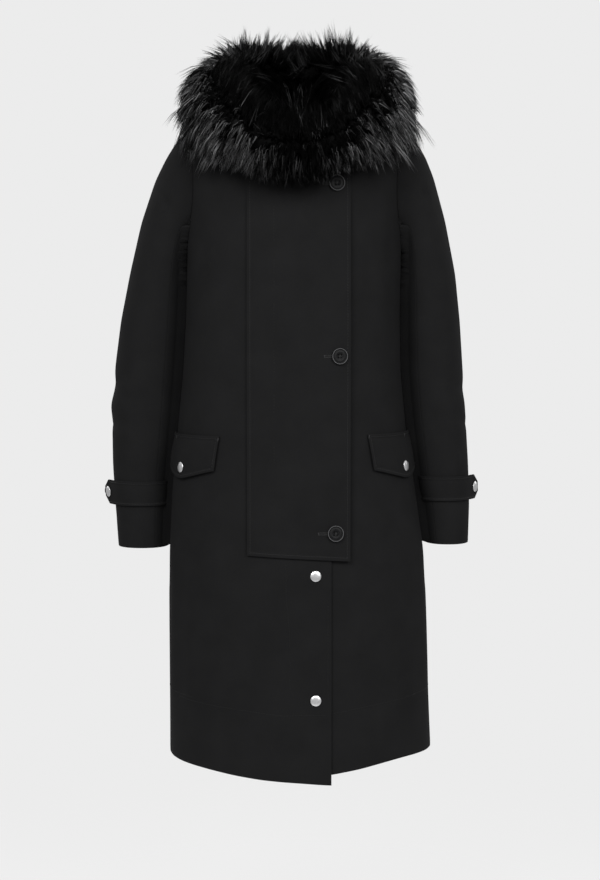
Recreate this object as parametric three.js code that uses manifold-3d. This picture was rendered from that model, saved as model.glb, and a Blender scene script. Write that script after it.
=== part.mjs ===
// A long black parka with a fur-trimmed hood worn down, filled out as on a standing wearer.
// Millimetres, +Z up. The front faces -Y and the wearer's right side is at -X.
// The origin is at the middle of the neck, level with the shoulders that carry the coat.
import * as THREE from "three";
import Module from "manifold-3d";
import { mergeVertices } from "three/addons/utils/BufferGeometryUtils.js";

// Driving dimensions
const CLOTH = 2.5; // thickness of the bonded wool
const SEAM_GAP = 0.3; // clearance between pieces that are sewn edge to edge
const LIE_GAP = 0.8; // clearance between a piece and the cloth that it lies on
const LAYER = CLOTH + LIE_GAP; // how far a further layer of cloth stands out
const ROUNDNESS = 2.4; // exponent of the body sections, where 2 is an ellipse

const CHEST_Z = -240; // level ring just below the armholes
const UNDERARM_Z = -215;
const UNDERARM_Y = 12;
const DOME_Z = -110; // above this level the cloth turns over the shoulders
const DOME_SPAN = 100; // what the level coordinate gains from DOME_Z to the shoulder seam
const SHOULDER_TIP_X = 167;
const SHOULDER_TOP_Z = 18;
const SHOULDER_DROP = 40; // from beside the neck to the tip
const NECK_HALF_WIDTH = 70;
const NECK_FRONT_DEPTH = 121; // from the shoulder seam forward to the neckline
const NECK_BACK_DEPTH = 57;
const ARMHOLE_TURN = 64; // degrees from the centre front at which the armhole cuts furthest in

const LAP_EDGE_X = 55; // free edge of the right front, which lies outside
const UNDERLAP_EDGE_X = -22; // hidden edge of the left front
const LAP_RISE = { from: -75, to: -28 }; // where the right front rises over the left one
const FLAP = { leftX: -75, rightX: 83, leftZ: -690, rightZ: -699, topZ: -90, cornerZ: -103 };

const BUTTON = { radius: 12.5, height: 3.6, edge: 1.2, rim: 2.2, face: 2.5, hole: 1, holeRing: 2.6 };
const SNAP = { radius: 8.5, wall: 1.4, crown: 7, crownDrop: 0.5, height: 3 };

// The coat's girth, level by level: half-widths to each side, and depths to the front and back.
const GIRTH = [
  { z: -1060, right: 206, left: 222, front: 173, back: 162 },
  { z: -900, right: 206, left: 215, front: 170, back: 158 },
  { z: -690, right: 206, left: 208, front: 160, back: 150 },
  { z: -560, right: 198, left: 187, front: 152, back: 143 },
  { z: -440, right: 185, left: 171, front: 147, back: 138 },
  { z: -300, right: 177, left: 168, front: 143, back: 134 },
  { z: -200, right: 176, left: 171, front: 136, back: 131 },
  { z: -110, right: 177, left: 174, front: 127, back: 128 },
];

// The hem's height round the body. The outer front hangs lower than the inner one at the lap.
const HEM = {
  outer: [
    { turn: -106, z: -1022 },
    { turn: -64, z: -1025 },
    { turn: -40, z: -1028 },
    { turn: -12, z: -1039 },
    { turn: 13, z: -1047 },
  ],
  inner: [
    { turn: -8, z: -1036 },
    { turn: 12, z: -1031 },
    { turn: 33, z: -1018 },
    { turn: 50, z: -1013 },
    { turn: 106, z: -1018 },
  ],
  back: [
    { turn: 104, z: -1018 },
    { turn: 180, z: -1034 },
    { turn: 256, z: -1022 },
  ],
};

// Side seams: degrees from the centre front
const SIDE_SEAM = [
  { z: -1060, turn: 106 },
  { z: -450, turn: 105 },
  { z: -300, turn: 99 },
  { z: -215, turn: 94 },
];

// Sections of the sleeves below the armhole: the outer and the inner edge seen from the front,
// the middle's place front to back, and the half-depth.
const SLEEVES = {
  right: [
    { outX: 189, outZ: -38, inX: 178.4, inZ: -218, y: 4, half: 68 },
    { outX: 208, outZ: -68, inX: 178.2, inZ: -222, y: 6, half: 70 },
    { outX: 226, outZ: -104, inX: 178, inZ: -228, y: 8, half: 71 },
    { outX: 241, outZ: -146, inX: 177.8, inZ: -237, y: 11, half: 71 },
    { outX: 257, outZ: -198, inX: 177.6, inZ: -250, y: 14, half: 70 },
    { outX: 269, outZ: -254, inX: 177.8, inZ: -272, y: 18, half: 69 },
    { outX: 284, outZ: -327, inX: 179.4, inZ: -334, y: 22, half: 67 },
    { outX: 294, outZ: -400, inX: 183.2, inZ: -402, y: 24, half: 64 },
    { outX: 300, outZ: -475, inX: 189.4, inZ: -475, y: 23, half: 60 },
    { outX: 299, outZ: -560, inX: 199, inZ: -560, y: 21, half: 56 },
    { outX: 295, outZ: -625, inX: 204.6, inZ: -625, y: 19, half: 52 },
    { outX: 290, outZ: -694, inX: 207.8, inZ: -694, y: 16, half: 49 },
  ],
  left: [
    { outX: 190, outZ: -37, inX: 174.2, inZ: -218, y: 4, half: 68 },
    { outX: 207, outZ: -64, inX: 173.6, inZ: -222, y: 6, half: 70 },
    { outX: 221, outZ: -98, inX: 172.8, inZ: -228, y: 8, half: 71 },
    { outX: 234, outZ: -142, inX: 172, inZ: -237, y: 11, half: 71 },
    { outX: 247, outZ: -196, inX: 171.2, inZ: -250, y: 14, half: 70 },
    { outX: 258, outZ: -254, inX: 170.4, inZ: -272, y: 18, half: 69 },
    { outX: 266, outZ: -327, inX: 169.6, inZ: -334, y: 22, half: 67 },
    { outX: 271, outZ: -400, inX: 170.4, inZ: -402, y: 24, half: 64 },
    { outX: 276, outZ: -475, inX: 176.8, inZ: -475, y: 23, half: 60 },
    { outX: 281, outZ: -560, inX: 188.6, inZ: -560, y: 21, half: 56 },
    { outX: 283, outZ: -625, inX: 200, inZ: -625, y: 19, half: 52 },
    { outX: 281, outZ: -688, inX: 209.4, inZ: -688, y: 16, half: 49 },
  ],
};

// The fur trim round half of the hood's edge, by degrees from the centre front: the middle of the
// strip, its half-width and half-thickness, and how its width leans (down -90, outward 0, up 90).
const FUR = [
  { turn: -30, x: -68, y: -151, z: -67, wide: 42, thick: 27, lean: -78 },
  { turn: 0, x: 0, y: -163, z: -82, wide: 39, thick: 27, lean: -88 },
  { turn: 30, x: 68, y: -151, z: -67, wide: 42, thick: 27, lean: -78 },
  { turn: 60, x: 126, y: -108, z: -20, wide: 46, thick: 27, lean: -56 },
  { turn: 90, x: 147, y: -38, z: 24, wide: 46, thick: 31, lean: -28 },
  { turn: 115, x: 140, y: 26, z: 54, wide: 46, thick: 34, lean: 8 },
  { turn: 140, x: 110, y: 76, z: 77, wide: 45, thick: 35, lean: 42 },
  { turn: 160, x: 62, y: 104, z: 88, wide: 45, thick: 34, lean: 66 },
  { turn: 180, x: 0, y: 112, z: 85, wide: 44, thick: 33, lean: 78 },
  { turn: 200, x: -62, y: 104, z: 88, wide: 45, thick: 34, lean: 66 },
];

// The hood's shell by the same degrees: how far it lies over the shoulders from the neckline,
// how far its bag sags below that line and swells out behind it, and where on the fur's section
// its edge is sewn (180 is the strip's inner edge).
const HOOD = [
  { turn: 30, reach: 10, sag: 3, swell: 0, rim: 128 },
  { turn: 60, reach: 14, sag: 6, swell: 0, rim: 135 },
  { turn: 90, reach: 20, sag: 10, swell: 0, rim: 150 },
  { turn: 130, reach: 42, sag: 34, swell: 26, rim: 160 },
  { turn: 155, reach: 56, sag: 58, swell: 44, rim: 160 },
  { turn: 180, reach: 60, sag: 64, swell: 48, rim: 160 },
  { turn: 205, reach: 56, sag: 58, swell: 44, rim: 160 },
];

const RAD = Math.PI / 180;
const parka = new THREE.Group();
const lerp = THREE.MathUtils.lerp;
const smooth = (from, to, x) => THREE.MathUtils.smoothstep(x, from, to);
const signedPower = (v, e) => Math.sign(v) * Math.abs(v) ** e;
const steps = (count) => Array.from({ length: count + 1 }, (_, i) => i / count);

const shellCloth = { color: 0x161617, roughness: 0.9, metalness: 0 };
const longPile = { color: 0x0b0b0c, roughness: 0.7, metalness: 0 };
const horn = { color: 0x1d1d1f, roughness: 0.35, metalness: 0 };
const steel = { color: 0xc9cbce, roughness: 0.25, metalness: 1 };

// The value of one column of a table, on a smooth curve through its rows
function column(rows, key, place, x) {
  const last = rows.length - 1;
  if (x <= rows[0][place]) return rows[0][key];
  if (x >= rows[last][place]) return rows[last][key];
  const i = rows.findIndex((row) => row[place] > x) - 1;
  const slope = (k) => {
    const a = rows[Math.max(k - 1, 0)];
    const b = rows[Math.min(k + 1, last)];
    return (b[key] - a[key]) / (b[place] - a[place]);
  };
  const span = rows[i + 1][place] - rows[i][place];
  const t = (x - rows[i][place]) / span;
  return (
    rows[i][key] * (1 + 2 * t) * (1 - t) ** 2 +
    rows[i + 1][key] * t * t * (3 - 2 * t) +
    slope(i) * span * t * (1 - t) ** 2 -
    slope(i + 1) * span * t * t * (1 - t)
  );
}

// The body's surface

const girth = (key, z) => column(GIRTH, key, "z", z);

function shoulderZ(x) {
  const beyondNeck = Math.max(0, Math.abs(x) - NECK_HALF_WIDTH);
  const share = beyondNeck / (SHOULDER_TIP_X - NECK_HALF_WIDTH);
  return SHOULDER_TOP_Z - SHOULDER_DROP * share ** 1.3;
}

// A place on the body is a turn in degrees from the centre front towards the wearer's left,
// and a level: under 0 it is millimetres below DOME_Z, and above 0 it climbs over the shoulder.
function bodyPoint(turn, level) {
  const z = DOME_Z + Math.min(level, 0);
  const s = Math.sin(turn * RAD);
  const c = Math.cos(turn * RAD);
  const x = girth(s < 0 ? "right" : "left", z) * signedPower(s, 2 / ROUNDNESS);
  const y = -girth(c > 0 ? "front" : "back", z) * signedPower(c, 2 / ROUNDNESS);
  if (level <= 0) return new THREE.Vector3(x, y, z);
  const climb = (level / DOME_SPAN) * 90 * RAD;
  const top = DOME_Z + (shoulderZ(x) - DOME_Z) * Math.sin(climb);
  return new THREE.Vector3(x, y * Math.cos(climb), top);
}

// A point of the body's outer face with its outward normal, moved out by lift
function onBody({ turn, level }, lift = 0) {
  const aside = 0.6;
  const above = 1;
  const across = bodyPoint(turn + aside, level).sub(bodyPoint(turn - aside, level));
  const up = bodyPoint(turn, level + above).sub(bodyPoint(turn, level - above));
  const normal = across.cross(up).normalize();
  return { point: bodyPoint(turn, level).addScaledVector(normal, lift), normal };
}

function climbLevel(x, z) {
  if (z <= DOME_Z) return z - DOME_Z;
  const share = Math.min(1, (z - DOME_Z) / (shoulderZ(x) - DOME_Z));
  return (Math.asin(share) / RAD / 90) * DOME_SPAN;
}

// The turn at which the front reaches x on a level, and the place at x and z seen from ahead
function turnAtX(x, z = DOME_Z) {
  const share = Math.abs(x) / girth(x < 0 ? "right" : "left", Math.min(z, DOME_Z));
  return (Math.sign(x) * Math.asin(Math.min(1, share) ** (ROUNDNESS / 2))) / RAD;
}

const frontPlace = (x, z) => ({ turn: turnAtX(x, z), level: climbLevel(x, z) });

// The place on the shoulders at x and y seen from above
function topPlace(x, y, isFront) {
  const turn = isFront ? turnAtX(x) : (x < 0 ? -180 : 180) - turnAtX(x);
  const share = Math.min(1, Math.abs(y / bodyPoint(turn, 0).y));
  return { turn, level: (Math.acos(share) / RAD / 90) * DOME_SPAN };
}

// The turn reached by going mm round the body from another turn
function turnAfter(turn, z, mm) {
  const stride = 0.5 * Math.sign(mm);
  let left = Math.abs(mm);
  let at = turn;
  while (left > 0) {
    left -= bodyPoint(at + stride, z - DOME_Z).distanceTo(bodyPoint(at, z - DOME_Z));
    at += stride;
  }
  return at;
}

// The neckline by degrees from the centre front, let out over the shoulders by a reach
function neckPlace(turn, reach = 0, isFront = Math.abs(turn) <= 90) {
  const depth = (isFront ? NECK_FRONT_DEPTH : NECK_BACK_DEPTH) + reach;
  const x = (NECK_HALF_WIDTH + reach) * Math.sin(turn * RAD);
  return topPlace(x, -depth * Math.cos(turn * RAD), isFront);
}

// The armhole by degrees from the shoulder tip (0) past the front (90) to the underarm (180).
// side is 1 for the wearer's left and -1 for the right.
function armholePlace(side, angle) {
  const tipZ = shoulderZ(SHOULDER_TIP_X);
  const z = lerp(UNDERARM_Z, tipZ, (1 + Math.cos(angle * RAD)) / 2);
  const sine = Math.abs(Math.sin(angle * RAD));
  const isFront = angle <= 180;
  if (Math.abs(angle - 180) >= 90) {
    const turn = lerp(Math.abs(turnAtX(side * SHOULDER_TIP_X)), ARMHOLE_TURN, sine);
    const level = climbLevel(bodyPoint(side * turn, 0).x, z);
    return { turn: side * (isFront ? turn : 180 - turn), level };
  }
  const far = bodyPoint(isFront ? ARMHOLE_TURN : 180 - ARMHOLE_TURN, z - DOME_Z).y;
  const y = lerp(UNDERARM_Y, far, sine);
  const share = Math.abs(y) / girth(y < 0 ? "front" : "back", z);
  const turn = 90 + (Math.sign(y) * Math.asin(share ** (ROUNDNESS / 2))) / RAD;
  return { turn: side * turn, level: z - DOME_Z };
}

// Building solids

function solidGeometry(positions, index) {
  const geometry = new THREE.BufferGeometry();
  geometry.setAttribute("position", new THREE.Float32BufferAttribute(positions, 3));
  geometry.setIndex(index);
  return geometry;
}

// A closed wall of cloth under a grid of outer points with normals
function wall(grid) {
  const rows = grid.length;
  const columns = grid[0].length;
  const inner = rows * columns;
  const positions = [];
  for (const depth of [0, CLOTH])
    for (const { point, normal } of grid.flat())
      positions.push(...point.clone().addScaledVector(normal, -depth).toArray());
  const index = [];
  const quad = (a, b, c, d) => index.push(a, b, c, a, c, d);
  const at = (r, c) => r * columns + c;
  for (let r = 0; r < rows - 1; r++)
    for (let c = 0; c < columns - 1; c++) {
      const loop = [at(r, c), at(r, c + 1), at(r + 1, c + 1), at(r + 1, c)];
      const [p, q, s, t] = loop.map((i) => grid[Math.floor(i / columns)][i % columns].point);
      // split along the shorter diagonal, so that slanting cells follow the curve
      if (p.distanceTo(s) > q.distanceTo(t)) loop.push(loop.shift());
      quad(...loop);
      const [first, ...rest] = loop.map((i) => inner + i);
      quad(first, ...rest.reverse());
    }
  const rim = (a, b) => quad(a, inner + a, inner + b, b);
  for (let c = 0; c < columns - 1; c++) {
    rim(at(0, c), at(0, c + 1));
    rim(at(rows - 1, c + 1), at(rows - 1, c));
  }
  for (let r = 0; r < rows - 1; r++) {
    rim(at(r + 1, 0), at(r, 0));
    rim(at(r, columns - 1), at(r + 1, columns - 1));
  }
  return solidGeometry(positions, index);
}

// A closed solid through a row of rings, capped at both ends
function tube(rings) {
  const around = rings[0].length;
  const positions = rings.flat().flatMap((p) => p.toArray());
  const index = [];
  for (let r = 0; r < rings.length - 1; r++)
    for (let k = 0; k < around; k++) {
      const a = r * around + k;
      const b = r * around + ((k + 1) % around);
      index.push(a, b, b + around, a, b + around, a + around);
    }
  for (const [r, flip] of [[0, true], [rings.length - 1, false]]) {
    const middle = rings[r].reduce((sum, p) => sum.add(p), new THREE.Vector3());
    positions.push(...middle.divideScalar(around).toArray());
    const hub = positions.length / 3 - 1;
    for (let k = 0; k < around; k++) {
      const a = r * around + k;
      const b = r * around + ((k + 1) % around);
      index.push(...(flip ? [hub, b, a] : [hub, a, b]));
    }
  }
  return solidGeometry(positions, index);
}

// A grid of plain points with normals taken from its own rows and columns
function withNormals(points) {
  const rows = points.length - 1;
  const columns = points[0].length - 1;
  return points.map((row, r) =>
    row.map((point, c) => {
      const across = row[Math.min(c + 1, columns)].clone().sub(row[Math.max(c - 1, 0)]);
      const up = points[Math.min(r + 1, rows)][c].clone().sub(points[Math.max(r - 1, 0)][c]);
      return { point, normal: across.cross(up).normalize() };
    }),
  );
}

// Moves the sewn edges of a grid in by half a seam's gap
function trimmed(grid, sides) {
  const pull = (from, towards) => {
    const step = towards.point.clone().sub(from.point).setLength(SEAM_GAP / 2);
    return { point: from.point.clone().add(step), normal: from.normal };
  };
  const last = grid.length - 1;
  return grid.map((row, r) =>
    row.map((here, c) => {
      let moved = here;
      if (sides.start && c === 0) moved = pull(moved, row[1]);
      if (sides.end && c === row.length - 1) moved = pull(moved, row[c - 1]);
      if (sides.top && r === last) moved = pull(moved, grid[r - 1][c]);
      return moved;
    }),
  );
}

function add(name, geometry, finish) {
  const mesh = new THREE.Mesh(geometry, new THREE.MeshStandardMaterial(finish));
  mesh.name = name;
  parka.add(mesh);
}

// Body panels: a wrapped right front over a left front, and a back cut in one piece

const SKIRT_ZS = [-920, -800, -695, -600, -505, -410, -320, CHEST_Z];
const ARMHOLE_STEP = 15; // degrees, shared with the sleeves so that the seam closes
const YOKE_ROWS = 180 / ARMHOLE_STEP + 1; // rows from CHEST_Z up to the neckline
const FLAP_ROWS = 9; // of those, the rows that the storm flap covers
const NECK_CELLS = 3; // from the lap's edge to the shoulder seam, along the neckline
const SHOULDER_CELLS = 5;

const sideTurn = (z) => column(SIDE_SEAM, "turn", "z", z);
const lapLift = (x) => LAYER * smooth(LAP_RISE.from, LAP_RISE.to, x);

// Blends four edges of places into rows
function blend(low, high, first, last) {
  const rows = first.length;
  const width = low.length - 1;
  return first.map((_, r) => {
    const v = (r + 1) / rows;
    return low.map((_, c) => {
      const u = c / width;
      const mix = (key) => {
        const corners = lerp(
          lerp(low[0][key], low[width][key], u),
          lerp(high[0][key], high[width][key], u),
          v,
        );
        return (
          lerp(low[c][key], high[c][key], v) + lerp(first[r][key], last[r][key], u) - corners
        );
      };
      return { turn: mix("turn"), level: mix("level") };
    });
  });
}

// Places up the armhole from the underarm to the shoulder tip
function upArmhole(side, isFront) {
  return steps(YOKE_ROWS - 1).map((v) =>
    armholePlace(side, isFront ? 180 * (1 - v) : 180 * (1 + v)),
  );
}

// Places along the neckline from one turn to the shoulder seam, then out to the tip
function alongTop(side, isFront, fromTurn) {
  const neck = steps(NECK_CELLS).map((u) => {
    return neckPlace(side * lerp(fromTurn, 90, u), 0, isFront);
  });
  const shoulder = steps(SHOULDER_CELLS).map((u) => {
    const turn = turnAtX(side * lerp(NECK_HALF_WIDTH, SHOULDER_TIP_X, u));
    return { turn: isFront ? turn : side * 180 - turn, level: DOME_SPAN };
  });
  return [...neck, ...shoulder.slice(1)];
}

// Heights up a front at x: the skirt's levels, then the yoke's rows to the neckline
function frontHeights(x, hem) {
  const neckTurn = Math.asin(Math.min(1, x / NECK_HALF_WIDTH)) / RAD;
  const neck = neckPlace(neckTurn);
  const neckZ = bodyPoint(neck.turn, neck.level).z;
  const yoke = steps(YOKE_ROWS).slice(1).map((_, i) => {
    const row = i + 1;
    if (row <= FLAP_ROWS) return lerp(CHEST_Z, FLAP.topZ, row / FLAP_ROWS);
    return lerp(FLAP.topZ, neckZ, (row - FLAP_ROWS) / (YOKE_ROWS - FLAP_ROWS));
  });
  return [column(hem, "z", "turn", turnAtX(x, CHEST_Z)), ...SKIRT_ZS, ...yoke];
}

// A front panel's places, from a strip of straight columns out to the side seam and armhole
function frontPlaces(side, stripXs, hem) {
  const strip = stripXs.map((x) => frontHeights(x, hem).map((z) => frontPlace(x, z)));
  const edge = strip.at(-1);
  const edgeX = stripXs.at(-1);
  const cells = NECK_CELLS + SHOULDER_CELLS;
  const edgeTurn = Math.asin(Math.abs(edgeX) / NECK_HALF_WIDTH) / RAD;
  const skirt = edge.slice(0, SKIRT_ZS.length + 1).map((start, r) =>
    steps(cells).map((u) => {
      const seamZ = SKIRT_ZS[Math.max(r - 1, 0)];
      const turn = lerp(start.turn, side * sideTurn(seamZ), u);
      const z = r === 0 ? column(hem, "z", "turn", turn) : seamZ;
      return { turn, level: z - DOME_Z };
    }),
  );
  const yoke = blend(
    skirt.at(-1),
    alongTop(side, true, edgeTurn),
    edge.slice(SKIRT_ZS.length + 1),
    upArmhole(side, true),
  );
  return [...skirt, ...yoke].map((row, r) => [
    ...strip.slice(0, -1).map((heights) => heights[r]),
    ...row,
  ]);
}

function makeRightFront() {
  const places = frontPlaces(-1, [LAP_EDGE_X, 43, 30, 4, UNDERLAP_EDGE_X, -39, -LAP_EDGE_X], HEM.outer);
  const grid = places.map((row) =>
    row.map((place) => onBody(place, lapLift(bodyPoint(place.turn, place.level).x))).reverse(),
  );
  add("right_front", wall(trimmed(grid, { start: true, top: true })), shellCloth);
}

function makeLeftFront() {
  const places = frontPlaces(1, [UNDERLAP_EDGE_X, 4, 30, 43, LAP_EDGE_X], HEM.inner);
  const grid = places.map((row) => row.map((place) => onBody(place)));
  add("left_front", wall(trimmed(grid, { end: true, top: true })), shellCloth);
}

function makeBack() {
  const fullTurn = ({ turn, level }) => ({ turn: turn < 0 ? turn + 360 : turn, level });
  const cells = 2 * (NECK_CELLS + SHOULDER_CELLS);
  const skirt = [SKIRT_ZS[0], ...SKIRT_ZS].map((z, r) =>
    steps(cells).map((u) => {
      const turn = lerp(sideTurn(z), 360 - sideTurn(z), u);
      return { turn, level: (r === 0 ? column(HEM.back, "z", "turn", turn) : z) - DOME_Z };
    }),
  );
  const rightTop = alongTop(-1, false, 180).map(fullTurn);
  const yoke = blend(
    skirt.at(-1),
    [...alongTop(1, false, 180).reverse(), ...rightTop.slice(1)],
    upArmhole(1, false),
    upArmhole(-1, false).map(fullTurn),
  );
  const grid = [...skirt, ...yoke].map((row) => row.map((place) => onBody(place)));
  add("back", wall(trimmed(grid, { start: true, end: true, top: true })), shellCloth);
}

makeRightFront();
makeLeftFront();
makeBack();

// Set-in sleeves, each of a top and an under piece

const SLEEVE_ROUNDNESS = 2.15;
const SLEEVE_SEAM = 120; // degrees from the outer edge to the front seam and to the back seam
const ARMHOLE_REACH = 3; // sections over which the armhole's own outline fades out
const SLEEVE_RUNS = [0.02, 1, 2, 3, 4.5, 6, 7, 8, 9, 10, 11, 12];

// A point of a sleeve: run counts sections from the armhole, and angle goes from the outer
// edge (0) past the front (90) to the inner edge (180) and on round the back.
function sleevePoint(side, run, angle) {
  const underarm = armholePlace(side, 180);
  const armhole = {
    outX: SHOULDER_TIP_X,
    outZ: shoulderZ(SHOULDER_TIP_X),
    inX: Math.abs(bodyPoint(underarm.turn, underarm.level).x),
    inZ: UNDERARM_Z,
    y: 2,
    half: 63,
  };
  const rows = [armhole, ...SLEEVES[side > 0 ? "left" : "right"]].map((row, i) => {
    return { ...row, run: i };
  });
  const oval = (at) => {
    const get = (key) => column(rows, key, "run", at);
    const c = signedPower(Math.cos(angle * RAD), 2 / SLEEVE_ROUNDNESS);
    const s = signedPower(Math.sin(angle * RAD), 2 / SLEEVE_ROUNDNESS);
    const share = (1 + c) / 2;
    return new THREE.Vector3(
      side * lerp(get("inX"), get("outX"), share),
      get("y") - get("half") * s,
      lerp(get("inZ"), get("outZ"), share),
    );
  };
  const fade = Math.max(0, 1 - run / ARMHOLE_REACH) ** 2;
  if (!fade) return oval(run);
  const edge = armholePlace(side, (angle + 360) % 360);
  const seam = bodyPoint(edge.turn, edge.level);
  return oval(run).addScaledVector(seam.sub(oval(0)), fade);
}

function onSleeve(side, run, angle, lift = 0) {
  const stride = 0.02;
  const before = sleevePoint(side, Math.max(0, run - stride), angle);
  const along = sleevePoint(side, run + stride, angle).sub(before);
  const round = sleevePoint(side, run, angle + 1).sub(sleevePoint(side, run, angle - 1));
  const normal = along.cross(round).multiplyScalar(-side).normalize();
  return { point: sleevePoint(side, run, angle).addScaledVector(normal, lift), normal };
}

function makeSleevePiece(name, side, fromAngle, toAngle) {
  const cells = (toAngle - fromAngle) / ARMHOLE_STEP;
  const grid = [...SLEEVE_RUNS].reverse().map((run) => {
    const row = steps(cells).map((u) => onSleeve(side, run, lerp(fromAngle, toAngle, u)));
    return side > 0 ? row.reverse() : row;
  });
  add(name, wall(trimmed(grid, { start: true, end: true, top: true })), shellCloth);
}

const SIDES = [
  { word: "right", side: -1 },
  { word: "left", side: 1 },
];
for (const { word, side } of SIDES) {
  makeSleevePiece(`${word}_top_sleeve`, side, -SLEEVE_SEAM, SLEEVE_SEAM);
  makeSleevePiece(`${word}_under_sleeve`, side, SLEEVE_SEAM, 360 - SLEEVE_SEAM);
}

// Storm flap: one wide panel over the closure, its top tucked under the fur

function makeStormFlap() {
  const xs = [FLAP.leftX, -LAP_EDGE_X, -39, UNDERLAP_EDGE_X, 4, 30, 43, LAP_EDGE_X, 70, FLAP.rightX];
  const bottomZ = (x) => {
    const share = (x - FLAP.leftX) / (FLAP.rightX - FLAP.leftX);
    return lerp(FLAP.leftZ, FLAP.rightZ, share);
  };
  const flapZs = SKIRT_ZS.filter((z) => z > FLAP.leftZ);
  const grid = [null, ...flapZs, ...steps(FLAP_ROWS).slice(1)].map((entry) =>
    xs.map((x) => {
      const topZ = x === FLAP.rightX ? FLAP.cornerZ : FLAP.topZ;
      const isYoke = entry !== null && entry > 0;
      const z = entry === null ? bottomZ(x) : isYoke ? lerp(CHEST_Z, topZ, entry) : entry;
      return onBody(frontPlace(x, z), lapLift(x) + LAYER);
    }),
  );
  add("storm_flap", wall(grid), shellCloth);
}
makeStormFlap();

// Pocket flaps: wide, pointed at the middle of the lower edge, running round to the sides

const POCKET_HALF_WIDTH = 76;
const POCKETS = [
  { word: "right", middleTurn: -62.4, topZ: -507, cornerZ: -561, tipZ: -578, snapZ: -559 },
  { word: "left", middleTurn: 63.9, topZ: -504, cornerZ: -560, tipZ: -577, snapZ: -557 },
];
const POCKET_CELLS = 8;
const POCKET_ROWS = 3;
const POCKET_TAPER = 4; // how much narrower each half is at the lower edge

function makePocketFlap({ word, middleTurn, topZ, cornerZ, tipZ }) {
  const grid = steps(POCKET_ROWS).map((v) =>
    steps(POCKET_CELLS).map((u) => {
      const across = 2 * u - 1;
      const mm = across * (POCKET_HALF_WIDTH - POCKET_TAPER * (1 - v));
      const lowZ = lerp(tipZ, cornerZ, Math.abs(across));
      const z = lerp(lowZ, topZ, v);
      const turn = mm === 0 ? middleTurn : turnAfter(middleTurn, cornerZ, mm);
      return onBody({ turn, level: z - DOME_Z }, LAYER);
    }),
  );
  add(`${word}_pocket_flap`, wall(grid), shellCloth);
}
POCKETS.forEach(makePocketFlap);

// Cuff tabs: straps round the front of the sleeve, whose pointed ends stand off the outer edge

const TAB = { fromAngle: 165, leaveAngle: 33, halfRun: 0.31, free: 39, point: 14, tip: 0.4 };
const TAB_RUN = { right: 10.7, left: 10.57 }; // the section of the sleeve that each lies on
const TAB_SNAP = 25; // from where the tab leaves the sleeve to its snap
const TAB_STRAIGHT = [0, 8, 16, TAB_SNAP, 32, TAB.free]; // distances along the free end
const TAB_ROWS = 2;

function tabPlace(side, along, across) {
  const middleRun = TAB_RUN[side > 0 ? "left" : "right"];
  if (along <= 0) {
    const run = middleRun + across * TAB.halfRun;
    return onSleeve(side, run, TAB.leaveAngle - along, LAYER);
  }
  const narrowing = lerp(1, TAB.tip, smooth(TAB.free - TAB.point, TAB.free, along));
  const run = middleRun + across * TAB.halfRun * narrowing;
  const leave = onSleeve(side, run, TAB.leaveAngle, LAYER);
  const behind = onSleeve(side, run, TAB.leaveAngle + 1, LAYER);
  const heading = leave.point.clone().sub(behind.point).setZ(0).normalize();
  return { point: leave.point.addScaledVector(heading, along), normal: leave.normal };
}

function makeCuffTab(word, side) {
  const following = [];
  for (let angle = TAB.fromAngle; angle > TAB.leaveAngle; angle -= ARMHOLE_STEP)
    following.push(TAB.leaveAngle - angle);
  const alongs = [...following, ...TAB_STRAIGHT];
  const grid = steps(TAB_ROWS).map((v) => {
    const row = alongs.map((along) => tabPlace(side, along, 1 - 2 * v));
    return side > 0 ? row : row.reverse();
  });
  add(`${word}_cuff_tab`, wall(grid), shellCloth);
}
for (const { word, side } of SIDES) makeCuffTab(word, side);

// Fur trim: one thick strip of long pile round the hood's edge, its ends meeting at the front

const FUR_STEP = 10; // degrees between its sections
const FUR_END = 1.5; // degrees from the centre front to each end
const FUR_AROUND = 12; // points round a section
const FUR_MIDDLE_X = 3; // the trim sits a little to the wearer's left

const furTurns = [FUR_END];
for (let turn = FUR_STEP; turn < 360; turn += FUR_STEP) furTurns.push(turn);
furTurns.push(360 - FUR_END);

function furMiddle(turn) {
  const side = turn > 180 ? -1 : 1;
  const half = side > 0 ? turn : 360 - turn;
  const get = (key) => column(FUR, key, "turn", half);
  return new THREE.Vector3(FUR_MIDDLE_X + side * get("x"), get("y"), get("z"));
}

// A point of the fur's section: angle 0 at its outer edge and 180 at the edge sewn to the hood
function furPoint(turn, angle, lift = 0) {
  const half = turn > 180 ? 360 - turn : turn;
  const get = (key) => column(FUR, key, "turn", half);
  const forward = furMiddle(turn + 1).sub(furMiddle(turn - 1)).normalize();
  const outward = new THREE.Vector3(forward.y, -forward.x, 0).normalize();
  const upward = outward.clone().cross(forward);
  const lean = get("lean") * RAD;
  const wideAxis = outward.clone().multiplyScalar(Math.cos(lean));
  wideAxis.addScaledVector(upward, Math.sin(lean));
  const thickAxis = forward.clone().cross(wideAxis);
  return furMiddle(turn)
    .addScaledVector(wideAxis, (get("wide") + lift) * Math.cos(angle * RAD))
    .addScaledVector(thickAxis, (get("thick") + lift) * Math.sin(angle * RAD));
}

function makeFurTrim() {
  const rings = furTurns.map((turn) =>
    Array.from({ length: FUR_AROUND }, (_, k) => furPoint(turn, (k * 360) / FUR_AROUND)),
  );
  add("fur_trim", tube(rings), longPile);
}
makeFurTrim();

// Hood: sewn to the neckline, lying over the shoulders, then turned up as a bag to the fur

const HOOD_START = 30; // degrees from the centre front to each front edge
const LYING_ROWS = 3;
const BAG_GAP = 2.5; // clearance under the bag, where it lies loose on the back
const RIM_GAP = 1.6; // clearance between the bag's edge and the fur
const RISING_ROWS = 6;
const LAP_END_X = { from: 57, to: 80 }; // where the hood comes down from the lap to the left front

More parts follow.
